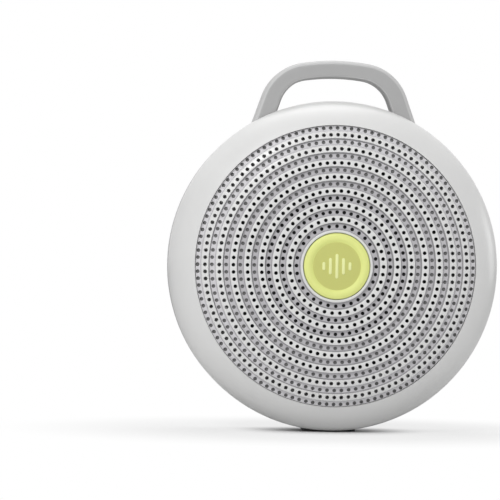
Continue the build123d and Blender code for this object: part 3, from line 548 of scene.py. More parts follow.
def plastic(name, colour, roughness, grain=6000.0, bump=0.008, tone=0.02, **own):
    """Moulded plastic or rubber of one colour."""
    values = {"Colour": colour, "Tone change": tone, "Grain scale": grain, "Roughness": roughness}
    return dress(name, "moulded", values, bump, **own)


def metal(name, colour, roughness, lines, strength=0.12, bump=0.003):
    """Bare or plated metal with its working lines."""
    values = {
        "Colour": colour,
        "Lines per metre": lines,
        "Line strength": strength,
        "Roughness": roughness,
    }
    return dress(name, "metal", values, bump, metallic=1.0)


def fibres(name, colour, specks, scale, pores, bump=0.05):
    """Paper, foam or felted cloth."""
    values = {"Colour": colour, "Fibre scale": scale, "Pore share": pores, "Speck colour": specks}
    return dress(name, "fibre", values, bump)


def weave(name, colour, threads):
    """Woven cloth."""
    return dress(name, "woven", {"Colour": colour, "Threads per metre": threads}, bump=0.06)


def board(name, mask, copper_tone, tracks=260.0):
    """Circuit board."""
    values = {"Mask": mask, "Copper": copper_tone, "Track scale": tracks}
    return dress(name, "board", values, bump=0.03)


def two_tone(material, mask_name, make_mask, first, second):
    """Feed an effect's colour with first where the mask is 0 and second where it is 1."""
    tree = material.node_tree
    if mask_name in tree.nodes:
        return material
    group = next(node for node in tree.nodes if node.type == "GROUP")
    mask = make_mask(tree)
    mask.node.name = mask_name
    blend = blend_colour(tree, mask, (*first, 1), (*second, 1))
    tree.links.new(blend, group.inputs["Colour"])
    return material


# Limits between which a second tone comes in
# Between these shares the grooves' painted shade eases to the lighter outer tone
LIGHTER_FLOORS = (0.68, 0.94)  # shares of the grille's radius
DISH_EDGE = (0.97, 1.01)  # shares of the dish's radius
PAST_BODY = (1.002, 1.01)  # shares of the body's radius
# Cosines that pick the loop's faces that get painted shade
FACES_FRONT = (0.9, 0.99)  # cosines
FACES_WINDOW = (0.3, 0.6)  # cosines


def outward(radius, shares):
    """Maker of a mask that goes from 0 to 1 between two shares of a radius about the sound axis."""
    low, high = (share * radius for share in shares)

    def mask(tree):
        return narrow(tree, axis_radius(tree, object_place(tree)), low, high)

    return mask


def front_plastic():
    return plastic("front plastic", machine().colours.front, roughness=0.32)


def groove_painted_shade():
    """Floors of the grooves, darker than the ridges as painted shade, which eases towards the edge
    of the grille.
    """
    colours = machine().colours
    material = plastic("groove plastic", colours.groove, roughness=0.6, bump=0.015)
    lighter = outward(grille_edge(), LIGHTER_FLOORS)
    return two_tone(material, "outer grooves", lighter, colours.groove, colours.outer_groove_painted_shade)


def wall_painted_shade():
    """Outer walls of the grooves, darker than their floors: painted shade on the walls."""
    return plastic("groove wall plastic", machine().colours.groove_wall_painted_shade, roughness=0.7, bump=0.015)


def hole_painted_shade():
    # Near black: painted shade inside the holes and on the step at the grille's edge
    return plastic("hole plastic", (0.05, 0.05, 0.05), roughness=0.8)


def dimple_painted_shade():
    # Dark grey: painted shade in the blind dimples
    return plastic("dimple plastic", (0.155, 0.155, 0.155), roughness=0.7)


def loop_painted_shade_mask(tree):
    """Where the loop gets painted shade: its flat front, and its walls that face the middle of its
    window.
    """
    reach = body_radius()
    window = Vector((0, 0, axis_height() + reach))
    surface = tree.nodes.new("ShaderNodeTexCoord").outputs
    forward = times(tree, components(tree, surface["Normal"])["Y"], -1.0)
    flat = narrow(tree, forward, *FACES_FRONT)
    inward = vector_node(tree, "SUBTRACT", window, surface["Object"])
    level = vector_node(tree, "MULTIPLY", inward, (1, 0, 1))
    unit = vector_node(tree, "NORMALIZE", level)
    share = vector_node(tree, "DOT_PRODUCT", unit, surface["Normal"], output="Value")
    inside = narrow(tree, share, *FACES_WINDOW)
    low, high = (share * reach for share in PAST_BODY)
    past_body = narrow(tree, axis_radius(tree, surface["Object"]), low, high)
    return math_node(tree, "MAXIMUM", flat, times(tree, inside, past_body))


def shell_plastic():
    """Shell plastic, with painted shade on the flat front of the loop and on the walls round its
    window.
    """
    colours = machine().colours
    material = plastic("shell plastic", colours.shell, roughness=0.55, bump=0.012)
    return two_tone(material, "loop front", loop_painted_shade_mask, colours.shell, colours.loop_painted_shade)


def button_plastic():
    """Silicone with a darker dish inside a lighter rim."""
    colours = machine().colours
    material = plastic("button silicone", colours.button, roughness=0.55, tone=0.03)
    rim = outward(machine().marks.dish_radius, DISH_EDGE)
    return two_tone(material, "dish edge", rim, colours.dish, colours.button)


def mark_plastic():
    return plastic("mark silicone", machine().colours.mark, roughness=0.5)


def sign_plastic():
    return plastic("sign plastic", machine().colours.sign, roughness=0.5)


def black_plastic():
    return plastic("black plastic", (0.025, 0.025, 0.027), roughness=0.4)


def socket_nylon():
    return plastic("socket nylon", (0.72, 0.69, 0.6), roughness=0.35)


def rubber(name, colour, roughness):
    return plastic(name, colour, roughness, grain=3500.0, bump=0.03, tone=0.06)


def black_rubber():
    return rubber("black rubber", (0.035, 0.035, 0.036), roughness=0.8)


def foot_rubber():
    return rubber("foot rubber", (0.05, 0.05, 0.052), roughness=0.75)


def switch_key_plastic():
    return plastic("switch key plastic", (0.03, 0.03, 0.03), roughness=0.3)


def light_pipe():
    tint = (0.86, 0.9, 0.9)
    return plastic("light pipe", tint, roughness=0.15, Transmission_Weight=0.85, IOR=1.49)


def speaker_cloth():
    return weave("speaker cloth", (0.022, 0.022, 0.023), threads=2600.0)


def spider_cloth():
    return weave("spider cloth", (0.55, 0.36, 0.14), threads=1800.0)


def green_board():
    return board("green board", (0.03, 0.2, 0.08), (0.72, 0.62, 0.4))


def button_board_brown():
    return board("brown board", (0.3, 0.17, 0.07), (0.7, 0.68, 0.62), tracks=320.0)


def steel():
    return metal("zinc steel", (0.6, 0.6, 0.59), roughness=0.28, lines=12000.0)


def coated_steel():
    black = (0.03, 0.03, 0.032)
    return plastic("coated steel", black, roughness=0.38, grain=2500.0, bump=0.01, tone=0.08)


def nickel():
    tint = (0.62, 0.6, 0.56)
    return metal("magnet nickel", tint, roughness=0.18, lines=3000.0, strength=0.05)


def copper():
    tint = (0.72, 0.36, 0.18)
    return metal("copper winding", tint, roughness=0.25, lines=16000.0, strength=0.5, bump=0.02)


def aluminium():
    return metal("aluminium can", (0.72, 0.72, 0.73), roughness=0.3, lines=7000.0)


def battery_foil():
    return dress("battery foil", "foil", {"Colour": (0.6, 0.61, 0.64)}, bump=0.1, metallic=1.0)


def foam():
    black, specks = (0.035, 0.035, 0.036), (0.06, 0.06, 0.06)
    return fibres("gasket foam", black, specks, scale=2600.0, pores=0.5)


def tape():
    white, specks = (0.5, 0.5, 0.48), (0.62, 0.62, 0.6)
    return fibres("tape foam", white, specks, scale=3000.0, pores=0.4, bump=0.03)


def cone_paper():
    black, specks = (0.03, 0.03, 0.03), (0.09, 0.09, 0.085)
    return fibres("cone paper", black, specks, scale=1500.0, pores=0.2)


def chip_resin():
    black = (0.022, 0.022, 0.023)
    return plastic("chip resin", black, roughness=0.6, grain=9000.0, bump=0.01, tone=0.05)


def jacket(name, colour):
    return plastic(name, colour, roughness=0.35, grain=2500.0, bump=0.01, tone=0.04)


def red_jacket():
    return jacket("red jacket", (0.5, 0.02, 0.02))


def black_jacket():
    return jacket("black jacket", (0.015, 0.015, 0.015))


def white_jacket():
    return jacket("white jacket", (0.75, 0.75, 0.72))


def machine():
    """Settings of the whole model."""
    return bpy.context.scene.sound_machine


def finish_nodes(finishes):
    """Give frame nodes their finished materials."""
    for name, make in finishes.items():
        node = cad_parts[name]
        material = make()
        for place in node.material_slots:
            place.material = material


# ---------------------------------------------------------------- mesh building
def finished_piece(name, mesh, materials, sharp):
    """Object of a mesh, smooth apart from edges sharper than an angle in degrees."""
    for polygon in mesh.polygons:
        polygon.use_smooth = True
    mesh.set_sharp_from_angle(angle=math.radians(sharp))
    for material in materials:
        mesh.materials.append(material)
    piece = bpy.data.objects.new(name, mesh)
    bpy.context.scene.collection.objects.link(piece)
    return piece


class Moulding:
    """Points and faces of a piece while it is put together from closed loops."""

    def __init__(self, axis):
        self.axis = axis
        self.points = []
        self.faces = []
        self.finishes = []

    def add(self, place):
        """Number of a new point."""
        self.points.append(tuple(place))
        return len(self.points) - 1

    def point(self, radius, angle, depth):
        """Point at a radius and angle about the sound axis."""
        height = self.axis + radius * math.sin(angle)
        return self.add((radius * math.cos(angle), depth, height))

    def face(self, corners, finish):
        self.faces.append(corners)
        self.finishes.append(finish)

    def circle(self, radius, depth, count, start):
        """Loop of points round the axis."""
        step = 2 * math.pi / count
        return [self.point(radius, start + step * index, depth) for index in range(count)]

    def bridge(self, first, second, finish):
        """Band of faces from one loop to the next. Loops of different counts get triangles."""
        if len(first) == len(second):
            for a, b, next_a, next_b in zip(first, second, turned(first), turned(second)):
                self.face((a, b, next_b, next_a), finish)
            return
        near = 0
        far = 0
        while near < len(first) or far < len(second):
            next_near = (near + 1) / len(first)
            next_far = (far + 1) / len(second)
            a = first[near % len(first)]
            b = second[far % len(second)]
            if next_near <= next_far:
                near += 1
                self.face((a, b, first[near % len(first)]), finish)
            else:
                far += 1
                self.face((a, b, second[far % len(second)]), finish)

    def chain(self, loops, finish):
        """Bands through loops that follow each other."""
        for first, second in zip(loops, loops[1:]):
            self.bridge(first, second, finish)

    def hole_wall(self, outer, inner, finish, back=False):
        """Wall from one loop of a hole to the next, turned over for the back of the piece."""
        for a, b, next_a, next_b in zip(outer, inner, turned(outer), turned(inner)):
            quad = (a, next_a, next_b, b)
            self.face(quad[::-1] if back else quad, finish)

    def into_object(self, name, materials, sharp):
        """Mesh object with its finishes."""
        mesh = bpy.data.meshes.new(name)
        mesh.from_pydata(self.points, [], self.faces)
        mesh.polygons.foreach_set("material_index", self.finishes)
        mesh.validate()
        return finished_piece(name, mesh, materials, sharp)


def turned(loop):
    """Loop that starts one point later."""
    return [*loop[1:], loop[0]]


# GROOVE, HOLE, DIMPLE and WALL are darker than RIDGE as painted shade in the hollows
RIDGE, GROOVE, HOLE, DIMPLE, WALL = range(5)  # slots of the grille's finishes
HOLE_SIDES = 12
CELL_SIDE = 3  # parts of each side of the square cell round a hole
FIRST_CORNER = math.radians(225)  # where a hole's loop starts, at the cell's first corner
CELL_CLEARANCE = 0.01 * MM
DIMPLE_LEVELS = ((0.96, 0.85), (0.6, 1.0))  # shares of a dimple's radius and depth
SOFT_SHARE = 0.4  # most of a wall's height that its rounded edge takes
BACK_CELL = 0.3  # half width of the back's cells, as a share of the rings' pitch
LIP_MIDDLE = 0.3  # middle of the collar's rounded edge, as a share of its radius
LIP_FOOT = 0.5  # spread of the collar's foot, as a share of the same radius
POST_COUNT = 4
POST_SIDES = 24
POST_TURN = 22.5  # degrees from the right to the first post
POST_HEAD = 1.5  # radius of a melted head, as a share of its post's
POST_TIP = 0.8  # radius of that head's flat end, as a share of the head's
POST_CHAMFER = 0.3 * MM
POST_GAP = 0.05 * MM  # from the deepest dimple to the root of a post


class GrilleShape:
    """Works out the grille's section and builds its mesh, ring by ring."""

    def __init__(self, settings):
        self.s = settings
        self.edge = grille_edge()
        self.widest = body_radius()
        self.ridge_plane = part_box("grille")[0].y + settings.collar_height
        self.guide_end = self.ridge_plane + settings.guide_length
        self.counts = list(settings.holes)
        self.last_ring = len(self.counts) - 1
        reach = self.edge - settings.last_ring_inset - settings.first_ring
        self.pitch = reach / self.last_ring
        self.mould = Moulding(axis_height())

    def radius(self, index):
        return self.s.first_ring + self.pitch * index

    def dome(self, radius, inset=0.0):
        """Depth of the domed surface, or of the inner surface with an inset."""
        past = max(radius - self.s.flat_radius, 0) / (self.widest - inset - self.s.flat_radius)
        drop = (self.s.dome_depth - inset) * (1 - math.sqrt(1 - past ** 2))
        return self.ridge_plane + inset + drop

    def inner_face(self, radius):
        """Depth of the inner surface."""
        return self.dome(radius, self.s.wall)

    def groove_floor(self, radius):
        """Depth of the floor of the grooves, which follows the dome."""
        return self.dome(radius) + self.s.groove_depth

    def start(self, index):
        """Angle at which the cells of a ring start."""
        return -math.pi / self.counts[index]

    def loop(self, radius, depth, index):
        """Loop of points with the sides of a ring's cells."""
        return self.mould.circle(radius, depth, CELL_SIDE * self.counts[index], self.start(index))

    def strip(self, index, inner, outer, depth_at, finish, back=False):
        """Ring of cells, each with its hole, between two loops.

        Returns the two loops and the lower rims of the holes.
        """
        count = self.counts[index]
        step = 2 * math.pi / count
        start = self.start(index)
        near = self.loop(inner, depth_at(inner), index)
        far = self.loop(outer, depth_at(outer), index)
        between = [inner + (outer - inner) * part / CELL_SIDE for part in range(1, CELL_SIDE)]
        sides = []
        for cell in range(count):
            angle = start + cell * step
            sides.append([self.mould.point(radius, angle, depth_at(radius)) for radius in between])
        ring = self.radius(index)
        soft = 0 if back else self.s.hole_round
        room = min(ring - inner, outer - ring) - soft - CELL_CLEARANCE
        size = min(self.s.hole_radius, room)
        rims = []
        for cell in range(count):
            after = (cell + 1) % count
            first = CELL_SIDE * cell
            last = CELL_SIDE * after
            border = [near[first], *sides[cell], *far[first:first + CELL_SIDE], far[last]]
            border += [*reversed(sides[after]), near[last], near[first + 2], near[first + 1]]
            middle = start + (cell + 0.5) * step
            loops = self.hole(ring, middle, size, soft, depth_at)
            for wide, tight in zip([border, *loops], loops):
                self.mould.hole_wall(wide, tight, finish, back=not soft)
            rims.append(loops[-1])
        return near, far, rims

    def hole(self, ring, angle, size, soft, depth_at):
        """Loops of one hole's edge, softened unless soft is 0."""
        levels = [(size + soft, 0.0), (size, soft)] if soft else [(size, 0.0)]
        loops = []
        for radius, sunk in levels:
            points = []
            for side in range(HOLE_SIDES):
                corner = FIRST_CORNER + side * 2 * math.pi / HOLE_SIDES
                outward_part = ring + radius * math.cos(corner)
                around = radius * math.sin(corner)
                reach = math.hypot(outward_part, around)
                bearing = angle + math.atan2(around, outward_part)
                points.append(self.mould.point(reach, bearing, depth_at(reach) + sunk))
            loops.append(points)
        return loops

    def floor_dimples(self, rims):
        """Blind dimples in painted shade: a wall, a turned-in corner and a floor."""
        mould = self.mould
        for rim in rims:
            places = [Vector(mould.points[index]) for index in rim]
            middle = sum(places, Vector()) / len(rim)
            loops = [rim]
            for share, part in DIMPLE_LEVELS:
                level = []
                for place in places:
                    spot = middle + (place - middle) * share
                    spot.y = place.y + self.s.dimple_depth * part
                    level.append(mould.add(spot))
                loops.append(level)
            for outer, inner in zip(loops, loops[1:]):
                mould.hole_wall(outer, inner, DIMPLE)
            mould.face(tuple(loops[-1]), DIMPLE)

    def soft_edge(self, corner, foot, inward):
        """Two places that round a ridge's corner, the upper one and the one on its wall."""
        tip = Vector((corner, self.dome(corner)))
        down = Vector((foot, self.groove_floor(foot))) - tip
        size = min(self.s.ridge_round, down.length * SOFT_SHARE)
        low = tip + down.normalized() * size
        high = Vector((corner + inward, self.dome(corner + inward)))
        return (high + tip * 2 + low) / 4, low

    def collar(self):
        """Bore and raised collar. Returns the loop at the end of the sleeve and the outer one."""
        s = self.s
        lip = s.ridge_round
        soft = lip * LIP_MIDDLE
        top = self.ridge_plane - s.collar_height
        edge = s.bore_radius + s.collar_width
        section = [
            (s.bore_radius, self.guide_end),
            (s.bore_radius, top + lip),
            (s.bore_radius + soft, top + soft),
            (s.bore_radius + lip, top),
            (edge - lip, top),
            (edge - soft, top + soft),
            (edge, top + lip),
            (edge + lip * LIP_FOOT, self.ridge_plane),
        ]
        loops = [self.loop(radius, depth, 0) for radius, depth in section]
        self.mould.chain(loops, RIDGE)
        return loops[0], loops[-1]

    def groove(self, index, last):
        """Floor of a groove. Returns its outer loop and the rims of its holes."""
        ring = self.radius(index)
        inner = ring - self.s.floor_in
        outer = min(ring + self.s.floor_out, self.edge - self.s.edge_gap)
        near, far, rims = self.strip(index, inner, outer, self.groove_floor, GROOVE)
        self.mould.bridge(last, near, GROOVE)
        return far, rims

    def ridge(self, index, last):
        """Ridge between two grooves. Returns its lowest outer loop and the rims of its holes."""
        s = self.s
        lip = s.ridge_round
        before = self.radius(index - 1)
        after = self.radius(index + 1)
        inner = before + s.mouth_out
        outer = after - s.mouth_in
        rise = self.soft_edge(inner, before + s.floor_out, lip)
        fall = self.soft_edge(outer, after - s.floor_in, -lip)
        near, far, rims = self.strip(index, inner + lip, outer - lip, self.dome, RIDGE)
        up = [self.loop(radius, depth, index) for radius, depth in reversed(rise)]
        down = [self.loop(radius, depth, index) for radius, depth in fall]
        # The groove's outer wall gets the WALL finish, which is painted shade
        self.mould.bridge(last, up[0], WALL)
        self.mould.chain([*up, near], RIDGE)
        self.mould.chain([far, *down], RIDGE)
        return down[-1], rims

    def front(self, last):
        """Grooves and ridges out to the edge.

        Returns the last loop and the rims of the holes that go right through, by ring.
        """
        through = {}
        for index in range(len(self.counts)):
            in_groove = index % 2 == 0
            last, rims = self.groove(index, last) if in_groove else self.ridge(index, last)
            if in_groove and index + 1 >= self.s.first_dimpled:
                self.floor_dimples(rims)
            else:
                through[index] = rims
        return last, through

    def joint(self, last):
        """Step at the edge, its walls in painted shade, that leaves a dark joint, and the way round
        to the inner face.
        """
        step = self.edge - self.s.edge_gap
        low = self.groove_floor(step) + self.s.edge_drop
        inner = self.inner_face(self.edge)
        # The step's walls take the HOLE finish: painted shade
        section = ((step, low, HOLE), (self.edge, low, HOLE), (self.edge, inner, RIDGE))
        for radius, depth, finish in section:
            loop = self.loop(radius, depth, self.last_ring)
            self.mould.bridge(last, loop, finish)
            last = loop
        return last

    def back(self, last, through, end):
        """Inner face and sleeve, from the edge in to the loop at the end of the bore."""
        s = self.s
        mould = self.mould
        reach = BACK_CELL * self.pitch
        for index in range(self.last_ring, -1, -1):
            ring = self.radius(index)
            if index in through:
                near, far, rims = self.strip(
                    index, ring - reach, ring + reach, self.inner_face, RIDGE, back=True
                )
                mould.bridge(last, far, RIDGE)
                last = near
                for front, back in zip(through[index], rims):
                    # The bore of each hole takes the HOLE finish: painted shade
                    mould.hole_wall(front, back, HOLE)
            elif index < self.last_ring:
                loop = self.loop(ring, self.inner_face(ring), index)
                mould.bridge(last, loop, RIDGE)
                last = loop
        sleeve = s.bore_radius + s.guide_wall
        for depth in (self.ridge_plane + s.wall, self.guide_end):
            loop = self.loop(sleeve, depth, 0)
            mould.bridge(last, loop, RIDGE)
            last = loop
        mould.bridge(last, end, RIDGE)

    def build(self):
        """Whole grille as one closed moulding."""
        end, last = self.collar()
        last, through = self.front(last)
        self.back(self.joint(last), through, end)
        self.posts()
        makers = {
            RIDGE: front_plastic,
            GROOVE: groove_painted_shade,
            HOLE: hole_painted_shade,
            DIMPLE: dimple_painted_shade,
            WALL: wall_painted_shade,
        }
        finishes = [makers[finish]() for finish in sorted(makers)]
        return self.mould.into_object("ribbed_grille", finishes, sharp=25)

    def posts(self):
        """Fixing posts with melted heads behind the grille."""
        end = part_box("grille")[1].y
        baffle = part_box("driver_gasket")[0].y
        circle = self.edge - self.s.post_inset
        size = self.s.post_radius
        head = size * POST_HEAD
        root = self.groove_floor(circle + size) + self.s.dimple_depth + POST_GAP
        section = [
            (size, root),
            (size, baffle),
            (head, baffle),
            (head, end - POST_CHAMFER),
            (head * POST_TIP, end),
        ]
        for quarter in range(POST_COUNT):
            angle = math.radians(POST_TURN + 360 / POST_COUNT * quarter)
            self.post(circle * math.cos(angle), circle * math.sin(angle), section)

    def post(self, x, z, section):
        """One post about its own middle."""
        mould = self.mould
        loops = []
        for radius, depth in section:
            loop = []
            for side in range(POST_SIDES):
                turn = 2 * math.pi * side / POST_SIDES
                height = mould.axis + z + radius * math.sin(turn)
                loop.append(mould.add((x + radius * math.cos(turn), depth, height)))
            loops.append(loop)
        mould.face(tuple(loops[0]), RIDGE)
        mould.chain(loops, RIDGE)
        mould.face(tuple(reversed(loops[-1])), RIDGE)


# ---------------------------------------------------------------- raised marks
BAR_SOFTENING = 0.6  # rounding of an upper edge, as a share of the mark's height
SIGN_SOFTENING = 0.3
CREASE = 40  # degrees


def bar_outline(length, width, segments=8):
    """Round-ended bar along the second direction of a flat sketch."""
    half = (length - width) / 2
    points = []
    for end, start in ((half, 0), (-half, math.pi)):
        for step in range(segments + 1):
            angle = start + math.pi * step / segments
            points.append((width / 2 * math.cos(angle), end + width / 2 * math.sin(angle)))
    return points


def plus_outline(length, width):
    """Plus sign as one outline."""
    long, short = length / 2, width / 2
    quarter = [(long, -short), (long, short), (short, short)]
    points = []
    for turn in range(4):
        spin = Matrix.Rotation(turn * math.pi / 2, 2)
        points += [tuple(spin @ Vector(point)) for point in quarter]
    return points


def raised(name, outlines, relief, soften, seat, material):
    """Mesh of raised shapes, sunk in as deep as they stand out, with softened upper edges.

    seat turns (across, up, lift) of the sketch into a point of the frame.
    """
    shape = bmesh.new()
    for outline in outlines:
        base = [shape.verts.new(seat(across, up, -relief)) for across, up in outline]
        top = [shape.verts.new(seat(across, up, relief)) for across, up in outline]
        shape.faces.new(top)
        shape.faces.new(list(reversed(base)))
        for corners in zip(base, turned(base), turned(top), top):
            shape.faces.new(corners)
        rim = [edge for edge in shape.edges if edge.verts[0] in top and edge.verts[1] in top]
        bmesh.ops.bevel(shape, geom=rim, offset=soften, segments=3, affect="EDGES", profile=0.5)
    bmesh.ops.recalc_face_normals(shape, faces=shape.faces)
    mesh = bpy.data.meshes.new(name)
    shape.to_mesh(mesh)
    shape.free()
    return finished_piece(name, mesh, [material], CREASE)


def front_seat(plane):
    """Seat for marks on a flat face to the front."""
    height = axis_height()

    def seat(across, up, lift):
        return (across, plane - lift, height + up)

    return seat


def side_seat(name):
    """Seat for marks that follow the curved right side of a frame node."""
    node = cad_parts[name]
    points = [node.matrix_world @ vertex.co for vertex in node.data.vertices]
    skin = BVHTree.FromPolygons(points, [polygon.vertices for polygon in node.data.polygons])
    low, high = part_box(name)
    depth = (low.y + high.y) / 2
    height = (low.z + high.z) / 2

    def seat(across, up, lift):
        start = Vector((high.x + MM, depth + up, height + across))
        touch = skin.ray_cast(start, Vector((-1, 0, 0)))[0]
        if touch is None:
            raise ValueError(name + " has no face under its mark")
        return (touch.x + lift, start.y, start.z)

    return seat


# ---------------------------------------------------------------- operators
class SOUND_OT_grille(bpy.types.Operator):
    """Build the domed grille with its ridges, holes and dimples"""

    bl_idname = "sound_machine.grille"
    bl_label = "Grille"

    def execute(self, context):
        piece = GrilleShape(machine().grille).build()
        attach(piece, "machine")
        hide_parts("grille")
        return {"FINISHED"}


class SOUND_OT_housings(bpy.types.Operator):
    """Finish the rim, the rear shell with its loop, the back pad and the foot"""

    bl_idname = "sound_machine.housings"
    bl_label = "Housings"

    def execute(self, context):
        finish_nodes(
            {
                "front_housing": front_plastic,
                "rear_housing": shell_plastic,
                "back_pad": black_rubber,
                "base_foot": foot_rubber,
                "grille_cloth": speaker_cloth,
            }
        )
        return {"FINISHED"}


class SOUND_OT_power_button(bpy.types.Operator):
    """Finish the power button and raise five level bars on it"""

    bl_idname = "sound_machine.power_button"
    bl_label = "Power button"

    def execute(self, context):
        finish_nodes({"power_button": button_plastic, "power_switch_plunger": switch_key_plastic})
        marks = machine().marks
        middle = (len(marks.bar_heights) - 1) / 2
        bars = []
        for index, length in enumerate(marks.bar_heights):
            shift = (index - middle) * marks.bar_pitch
            bar = bar_outline(length, marks.bar_width)
            bars.append([(across + shift, up) for across, up in bar])
        seat = front_seat(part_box("power_button")[0].y + marks.dish_depth)
        soften = marks.relief * BAR_SOFTENING
        piece = raised("level_bars", bars, marks.relief, soften, seat, mark_plastic())
        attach(piece, "power_key")
        return {"FINISHED"}


class SOUND_OT_volume_buttons(bpy.types.Operator):
    """Finish the volume buttons and raise a plus and a minus on them"""

    bl_idname = "sound_machine.volume_buttons"
    bl_label = "Volume buttons"

    def execute(self, context):
        marks = machine().marks
        signs = {
            "volume_up": plus_outline(marks.sign_length, marks.sign_width),
            "volume_down": bar_outline(marks.sign_length, marks.sign_width),
        }
        for name, outline in signs.items():
            finish_nodes({name + "_button": shell_plastic, name + "_plunger": switch_key_plastic})
            seat = side_seat(name + "_button")
            relief = marks.sign_relief
            soften = relief * SIGN_SOFTENING
            sign = raised(name + "_sign", [outline], relief, soften, seat, sign_plastic())
            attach(sign, name + "_key")
        return {"FINISHED"}


class SOUND_OT_driver(bpy.types.Operator):
    """Finish the loudspeaker driver"""

    bl_idname = "sound_machine.driver"
    bl_label = "Driver"

    def execute(self, context):
        finish_nodes(
            {
                "driver_gasket": foam,
                "driver_basket": coated_steel,
                "driver_surround": black_rubber,
                "driver_cone": cone_paper,
                "driver_dust_cap": cone_paper,
                "driver_spider": spider_cloth,
                "driver_voice_coil": copper,
                "driver_top_plate": steel,
                "driver_magnet": nickel,
                "driver_yoke": steel,
                "driver_terminals": button_board_brown,
            }
        )
        return {"FINISHED"}


class SOUND_OT_electronics(bpy.types.Operator):
    """Finish the boards, their parts and the charging socket"""

    bl_idname = "sound_machine.electronics"
    bl_label = "Electronics"

    def execute(self, context):
        finish_nodes(
            {
                "main_board": green_board,
                "button_board": green_board,
                "power_switch": black_plastic,
                "volume_switches": black_plastic,
                "charging_socket": steel,
                "charge_light": light_pipe,
                "controller_chip": chip_resin,
                "amplifier_chip": chip_resin,
                "capacitors": aluminium,
                "lead_sockets": socket_nylon,
            }
        )
        return {"FINISHED"}


class SOUND_OT_power_and_leads(bpy.types.Operator):
    """Finish the battery, its tape and the leads"""

    bl_idname = "sound_machine.power_and_leads"
    bl_label = "Battery and leads"

    def execute(self, context):
        finish_nodes(
            {
                "battery": battery_foil,
                "battery_tape": tape,
                "speaker_lead_red": red_jacket,
                "speaker_lead_black": black_jacket,
                "battery_lead_red": red_jacket,
                "battery_lead_black": black_jacket,
                "button_leads": white_jacket,
            }
        )
        return {"FINISHED"}


class SOUND_OT_screws(bpy.types.Operator):
    """Finish the screws"""

    bl_idname = "sound_machine.screws"
    bl_label = "Screws"

    def execute(self, context):
        names = ("housing_screws", "driver_screws", "main_board_screws", "button_board_screws")
        finish_nodes({name: steel for name in names})
        return {"FINISHED"}


# ---------------------------------------------------------------- stage
SENSOR_WIDTH = 36
LAMP_AIM = (0, 0, 0.05)
LAMPS = (  # name, place, size
    ("top", (0.0, -0.1, 1.0), 0.35),
    ("key", (-0.5, -1.08, 0.88), 0.3),
    ("fill", (-0.2, -1.5, 0.3), 0.8),
    ("right", (0.9, 0.25, 0.15), 0.35),
    ("back", (0.0, 0.3, 0.9), 0.6),
)
# The floor turns white in two steps: where each starts and ends, and its share of the whole
NEAR_WHITE = (5 * MM, 28 * MM, 0.7)
FAR_WHITE = (42 * MM, 95 * MM, 0.3)


def add_lamp(name, place, aim, size, power):
    """Square soft lamp that looks at a point."""
    data = bpy.data.lights.new(name, "AREA")
    data.shape = "SQUARE"
    data.size = size
    data.energy = power
    lamp = bpy.data.objects.new(name, data)
    bpy.context.scene.collection.objects.link(lamp)
    lamp.location = place
    lamp.rotation_euler = (Vector(aim) - Vector(place)).to_track_quat("-Z", "Y").to_euler()


def mix_shaders(tree, factor, first, second):
    """Blend of two shaders."""
    mix = tree.nodes.new("ShaderNodeMixShader")
    feed(tree, mix.inputs["Fac"], factor)
    tree.links.new(first, mix.inputs[1])
    tree.links.new(second, mix.inputs[2])
    return mix.outputs[0]


def floor_material():
    """Pale floor that keeps the machine's shadow and turns to plain white away from it."""
    material = bpy.data.materials.new("studio floor")
    material.use_nodes = True
    tree = material.node_tree
    shader = tree.nodes["Principled BSDF"]
    place = object_place(tree)
    grain = spread(tree, noise(tree, place, scale=40.0, detail=3.0), 0.985, 1.015)
    feed(tree, shader.inputs["Base Color"], shade_colour(tree, (0.7, 0.7, 0.7), grain))
    shader.inputs["Roughness"].default_value = 0.9
    shader.inputs["Specular IOR Level"].default_value = 0.1
    reach = vector_node(tree, "LENGTH", place, output="Value")
    near, far = [
        times(tree, narrow(tree, reach, start, end), share)
        for start, end, share in (NEAR_WHITE, FAR_WHITE)
    ]
    rays = tree.nodes.new("ShaderNodeLightPath").outputs
    white = tree.nodes.new("ShaderNodeEmission").outputs[0]
    share = times(tree, plus(tree, near, far), rays["Is Camera Ray"])
    mixed = mix_shaders(tree, share, shader.outputs[0], white)
    tree.links.new(mixed, tree.nodes["Material Output"].inputs["Surface"])
    return material


def light_world(strength):
    """Even light all round, seen as plain white."""
    world = bpy.data.worlds.new("studio")
    world.use_nodes = True
    tree = world.node_tree
    seen = tree.nodes["Background"]
    seen.inputs["Color"].default_value = (1, 1, 1, 1)
    seen.inputs["Strength"].default_value = 1.0
    light = tree.nodes.new("ShaderNodeBackground")
    light.inputs["Strength"].default_value = strength
    rays = tree.nodes.new("ShaderNodeLightPath").outputs
    clear = math_node(tree, "MAXIMUM", rays["Is Camera Ray"], rays["Is Glossy Ray"])
    clear = math_node(tree, "MAXIMUM", clear, rays["Is Transmission Ray"])
    mixed = mix_shaders(tree, clear, light.outputs[0], seen.outputs[0])
    tree.links.new(mixed, tree.nodes["World Output"].inputs["Surface"])
    bpy.context.scene.world = world


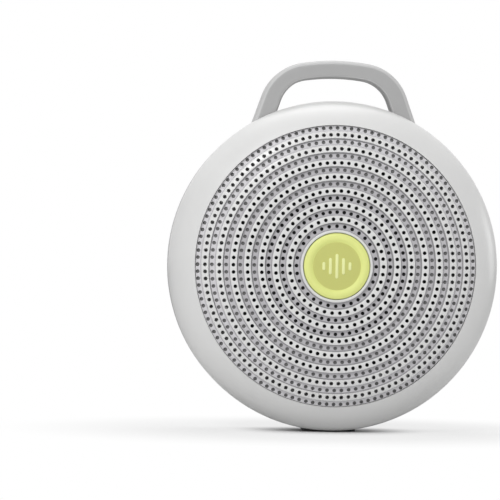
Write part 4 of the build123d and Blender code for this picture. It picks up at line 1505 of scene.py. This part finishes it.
class SOUND_OT_stage(bpy.types.Operator):
    """Set up the floor, the lamps and the camera"""

    bl_idname = "sound_machine.stage"
    bl_label = "Stage"

    def execute(self, context):
        stage = machine().stage
        across = Vector((math.cos(stage.azimuth), math.sin(stage.azimuth), 0))
        back = Vector((math.sin(stage.azimuth), -math.cos(stage.azimuth), 0))
        aim = across * stage.side + Vector((0, 0, stage.height))
        data = bpy.data.cameras.new("camera")
        data.sensor_width = SENSOR_WIDTH
        data.lens = stage.focal
        camera = bpy.data.objects.new("camera", data)
        context.scene.collection.objects.link(camera)
        camera.location = aim + back * stage.distance
        upright = Matrix.Rotation(stage.azimuth, 3, "Z") @ Matrix.Rotation(math.pi / 2, 3, "X")
        camera.rotation_euler = (upright @ Matrix.Rotation(stage.roll, 3, "Z")).to_euler()
        context.scene.camera = camera

        mesh = bpy.data.meshes.new("floor")
        half = stage.floor_size / 2
        corners = [(-half, -half, 0), (half, -half, 0), (half, half, 0), (-half, half, 0)]
        mesh.from_pydata(corners, [], [(0, 1, 2, 3)])
        mesh.materials.append(floor_material())
        floor = bpy.data.objects.new("floor", mesh)
        context.scene.collection.objects.link(floor)

        for name, place, size in LAMPS:
            add_lamp(name + " lamp", place, LAMP_AIM, size, getattr(stage, name + "_power"))
        light_world(stage.ambient)
        context.scene.view_settings.view_transform = "Standard"
        return {"FINISHED"}


class SoundMachineSettings(bpy.types.PropertyGroup):
    """All settings of the model."""

    grille: PointerProperty(type=GrilleSettings)
    marks: PointerProperty(type=MarkSettings)
    colours: PointerProperty(type=ColourSettings)
    stage: PointerProperty(type=StageSettings)


OPERATORS = (
    SOUND_OT_grille,
    SOUND_OT_housings,
    SOUND_OT_power_button,
    SOUND_OT_volume_buttons,
    SOUND_OT_driver,
    SOUND_OT_electronics,
    SOUND_OT_power_and_leads,
    SOUND_OT_screws,
    SOUND_OT_stage,
)


class SOUND_PT_machine(bpy.types.Panel):
    """Panel that lists the steps"""

    bl_idname = "SOUND_PT_machine"
    bl_label = "Sound machine"
    bl_space_type = "VIEW_3D"
    bl_region_type = "UI"
    bl_category = "Sound machine"

    def draw(self, context):
        column = self.layout.column()
        for operator in OPERATORS:
            column.operator(operator.bl_idname)


CLASSES = (
    GrilleSettings,
    MarkSettings,
    ColourSettings,
    StageSettings,
    SoundMachineSettings,
    *OPERATORS,
    SOUND_PT_machine,
)


def register():
    for item in CLASSES:
        bpy.utils.register_class(item)
    bpy.types.Scene.sound_machine = PointerProperty(type=SoundMachineSettings)


def unregister():
    del bpy.types.Scene.sound_machine
    for item in reversed(CLASSES):
        bpy.utils.unregister_class(item)


def main():
    """Build everything in order."""
    register()
    for operator in OPERATORS:
        group, step = operator.bl_idname.split(".")
        getattr(getattr(bpy.ops, group), step)()


if __name__ == "__main__":
    main()
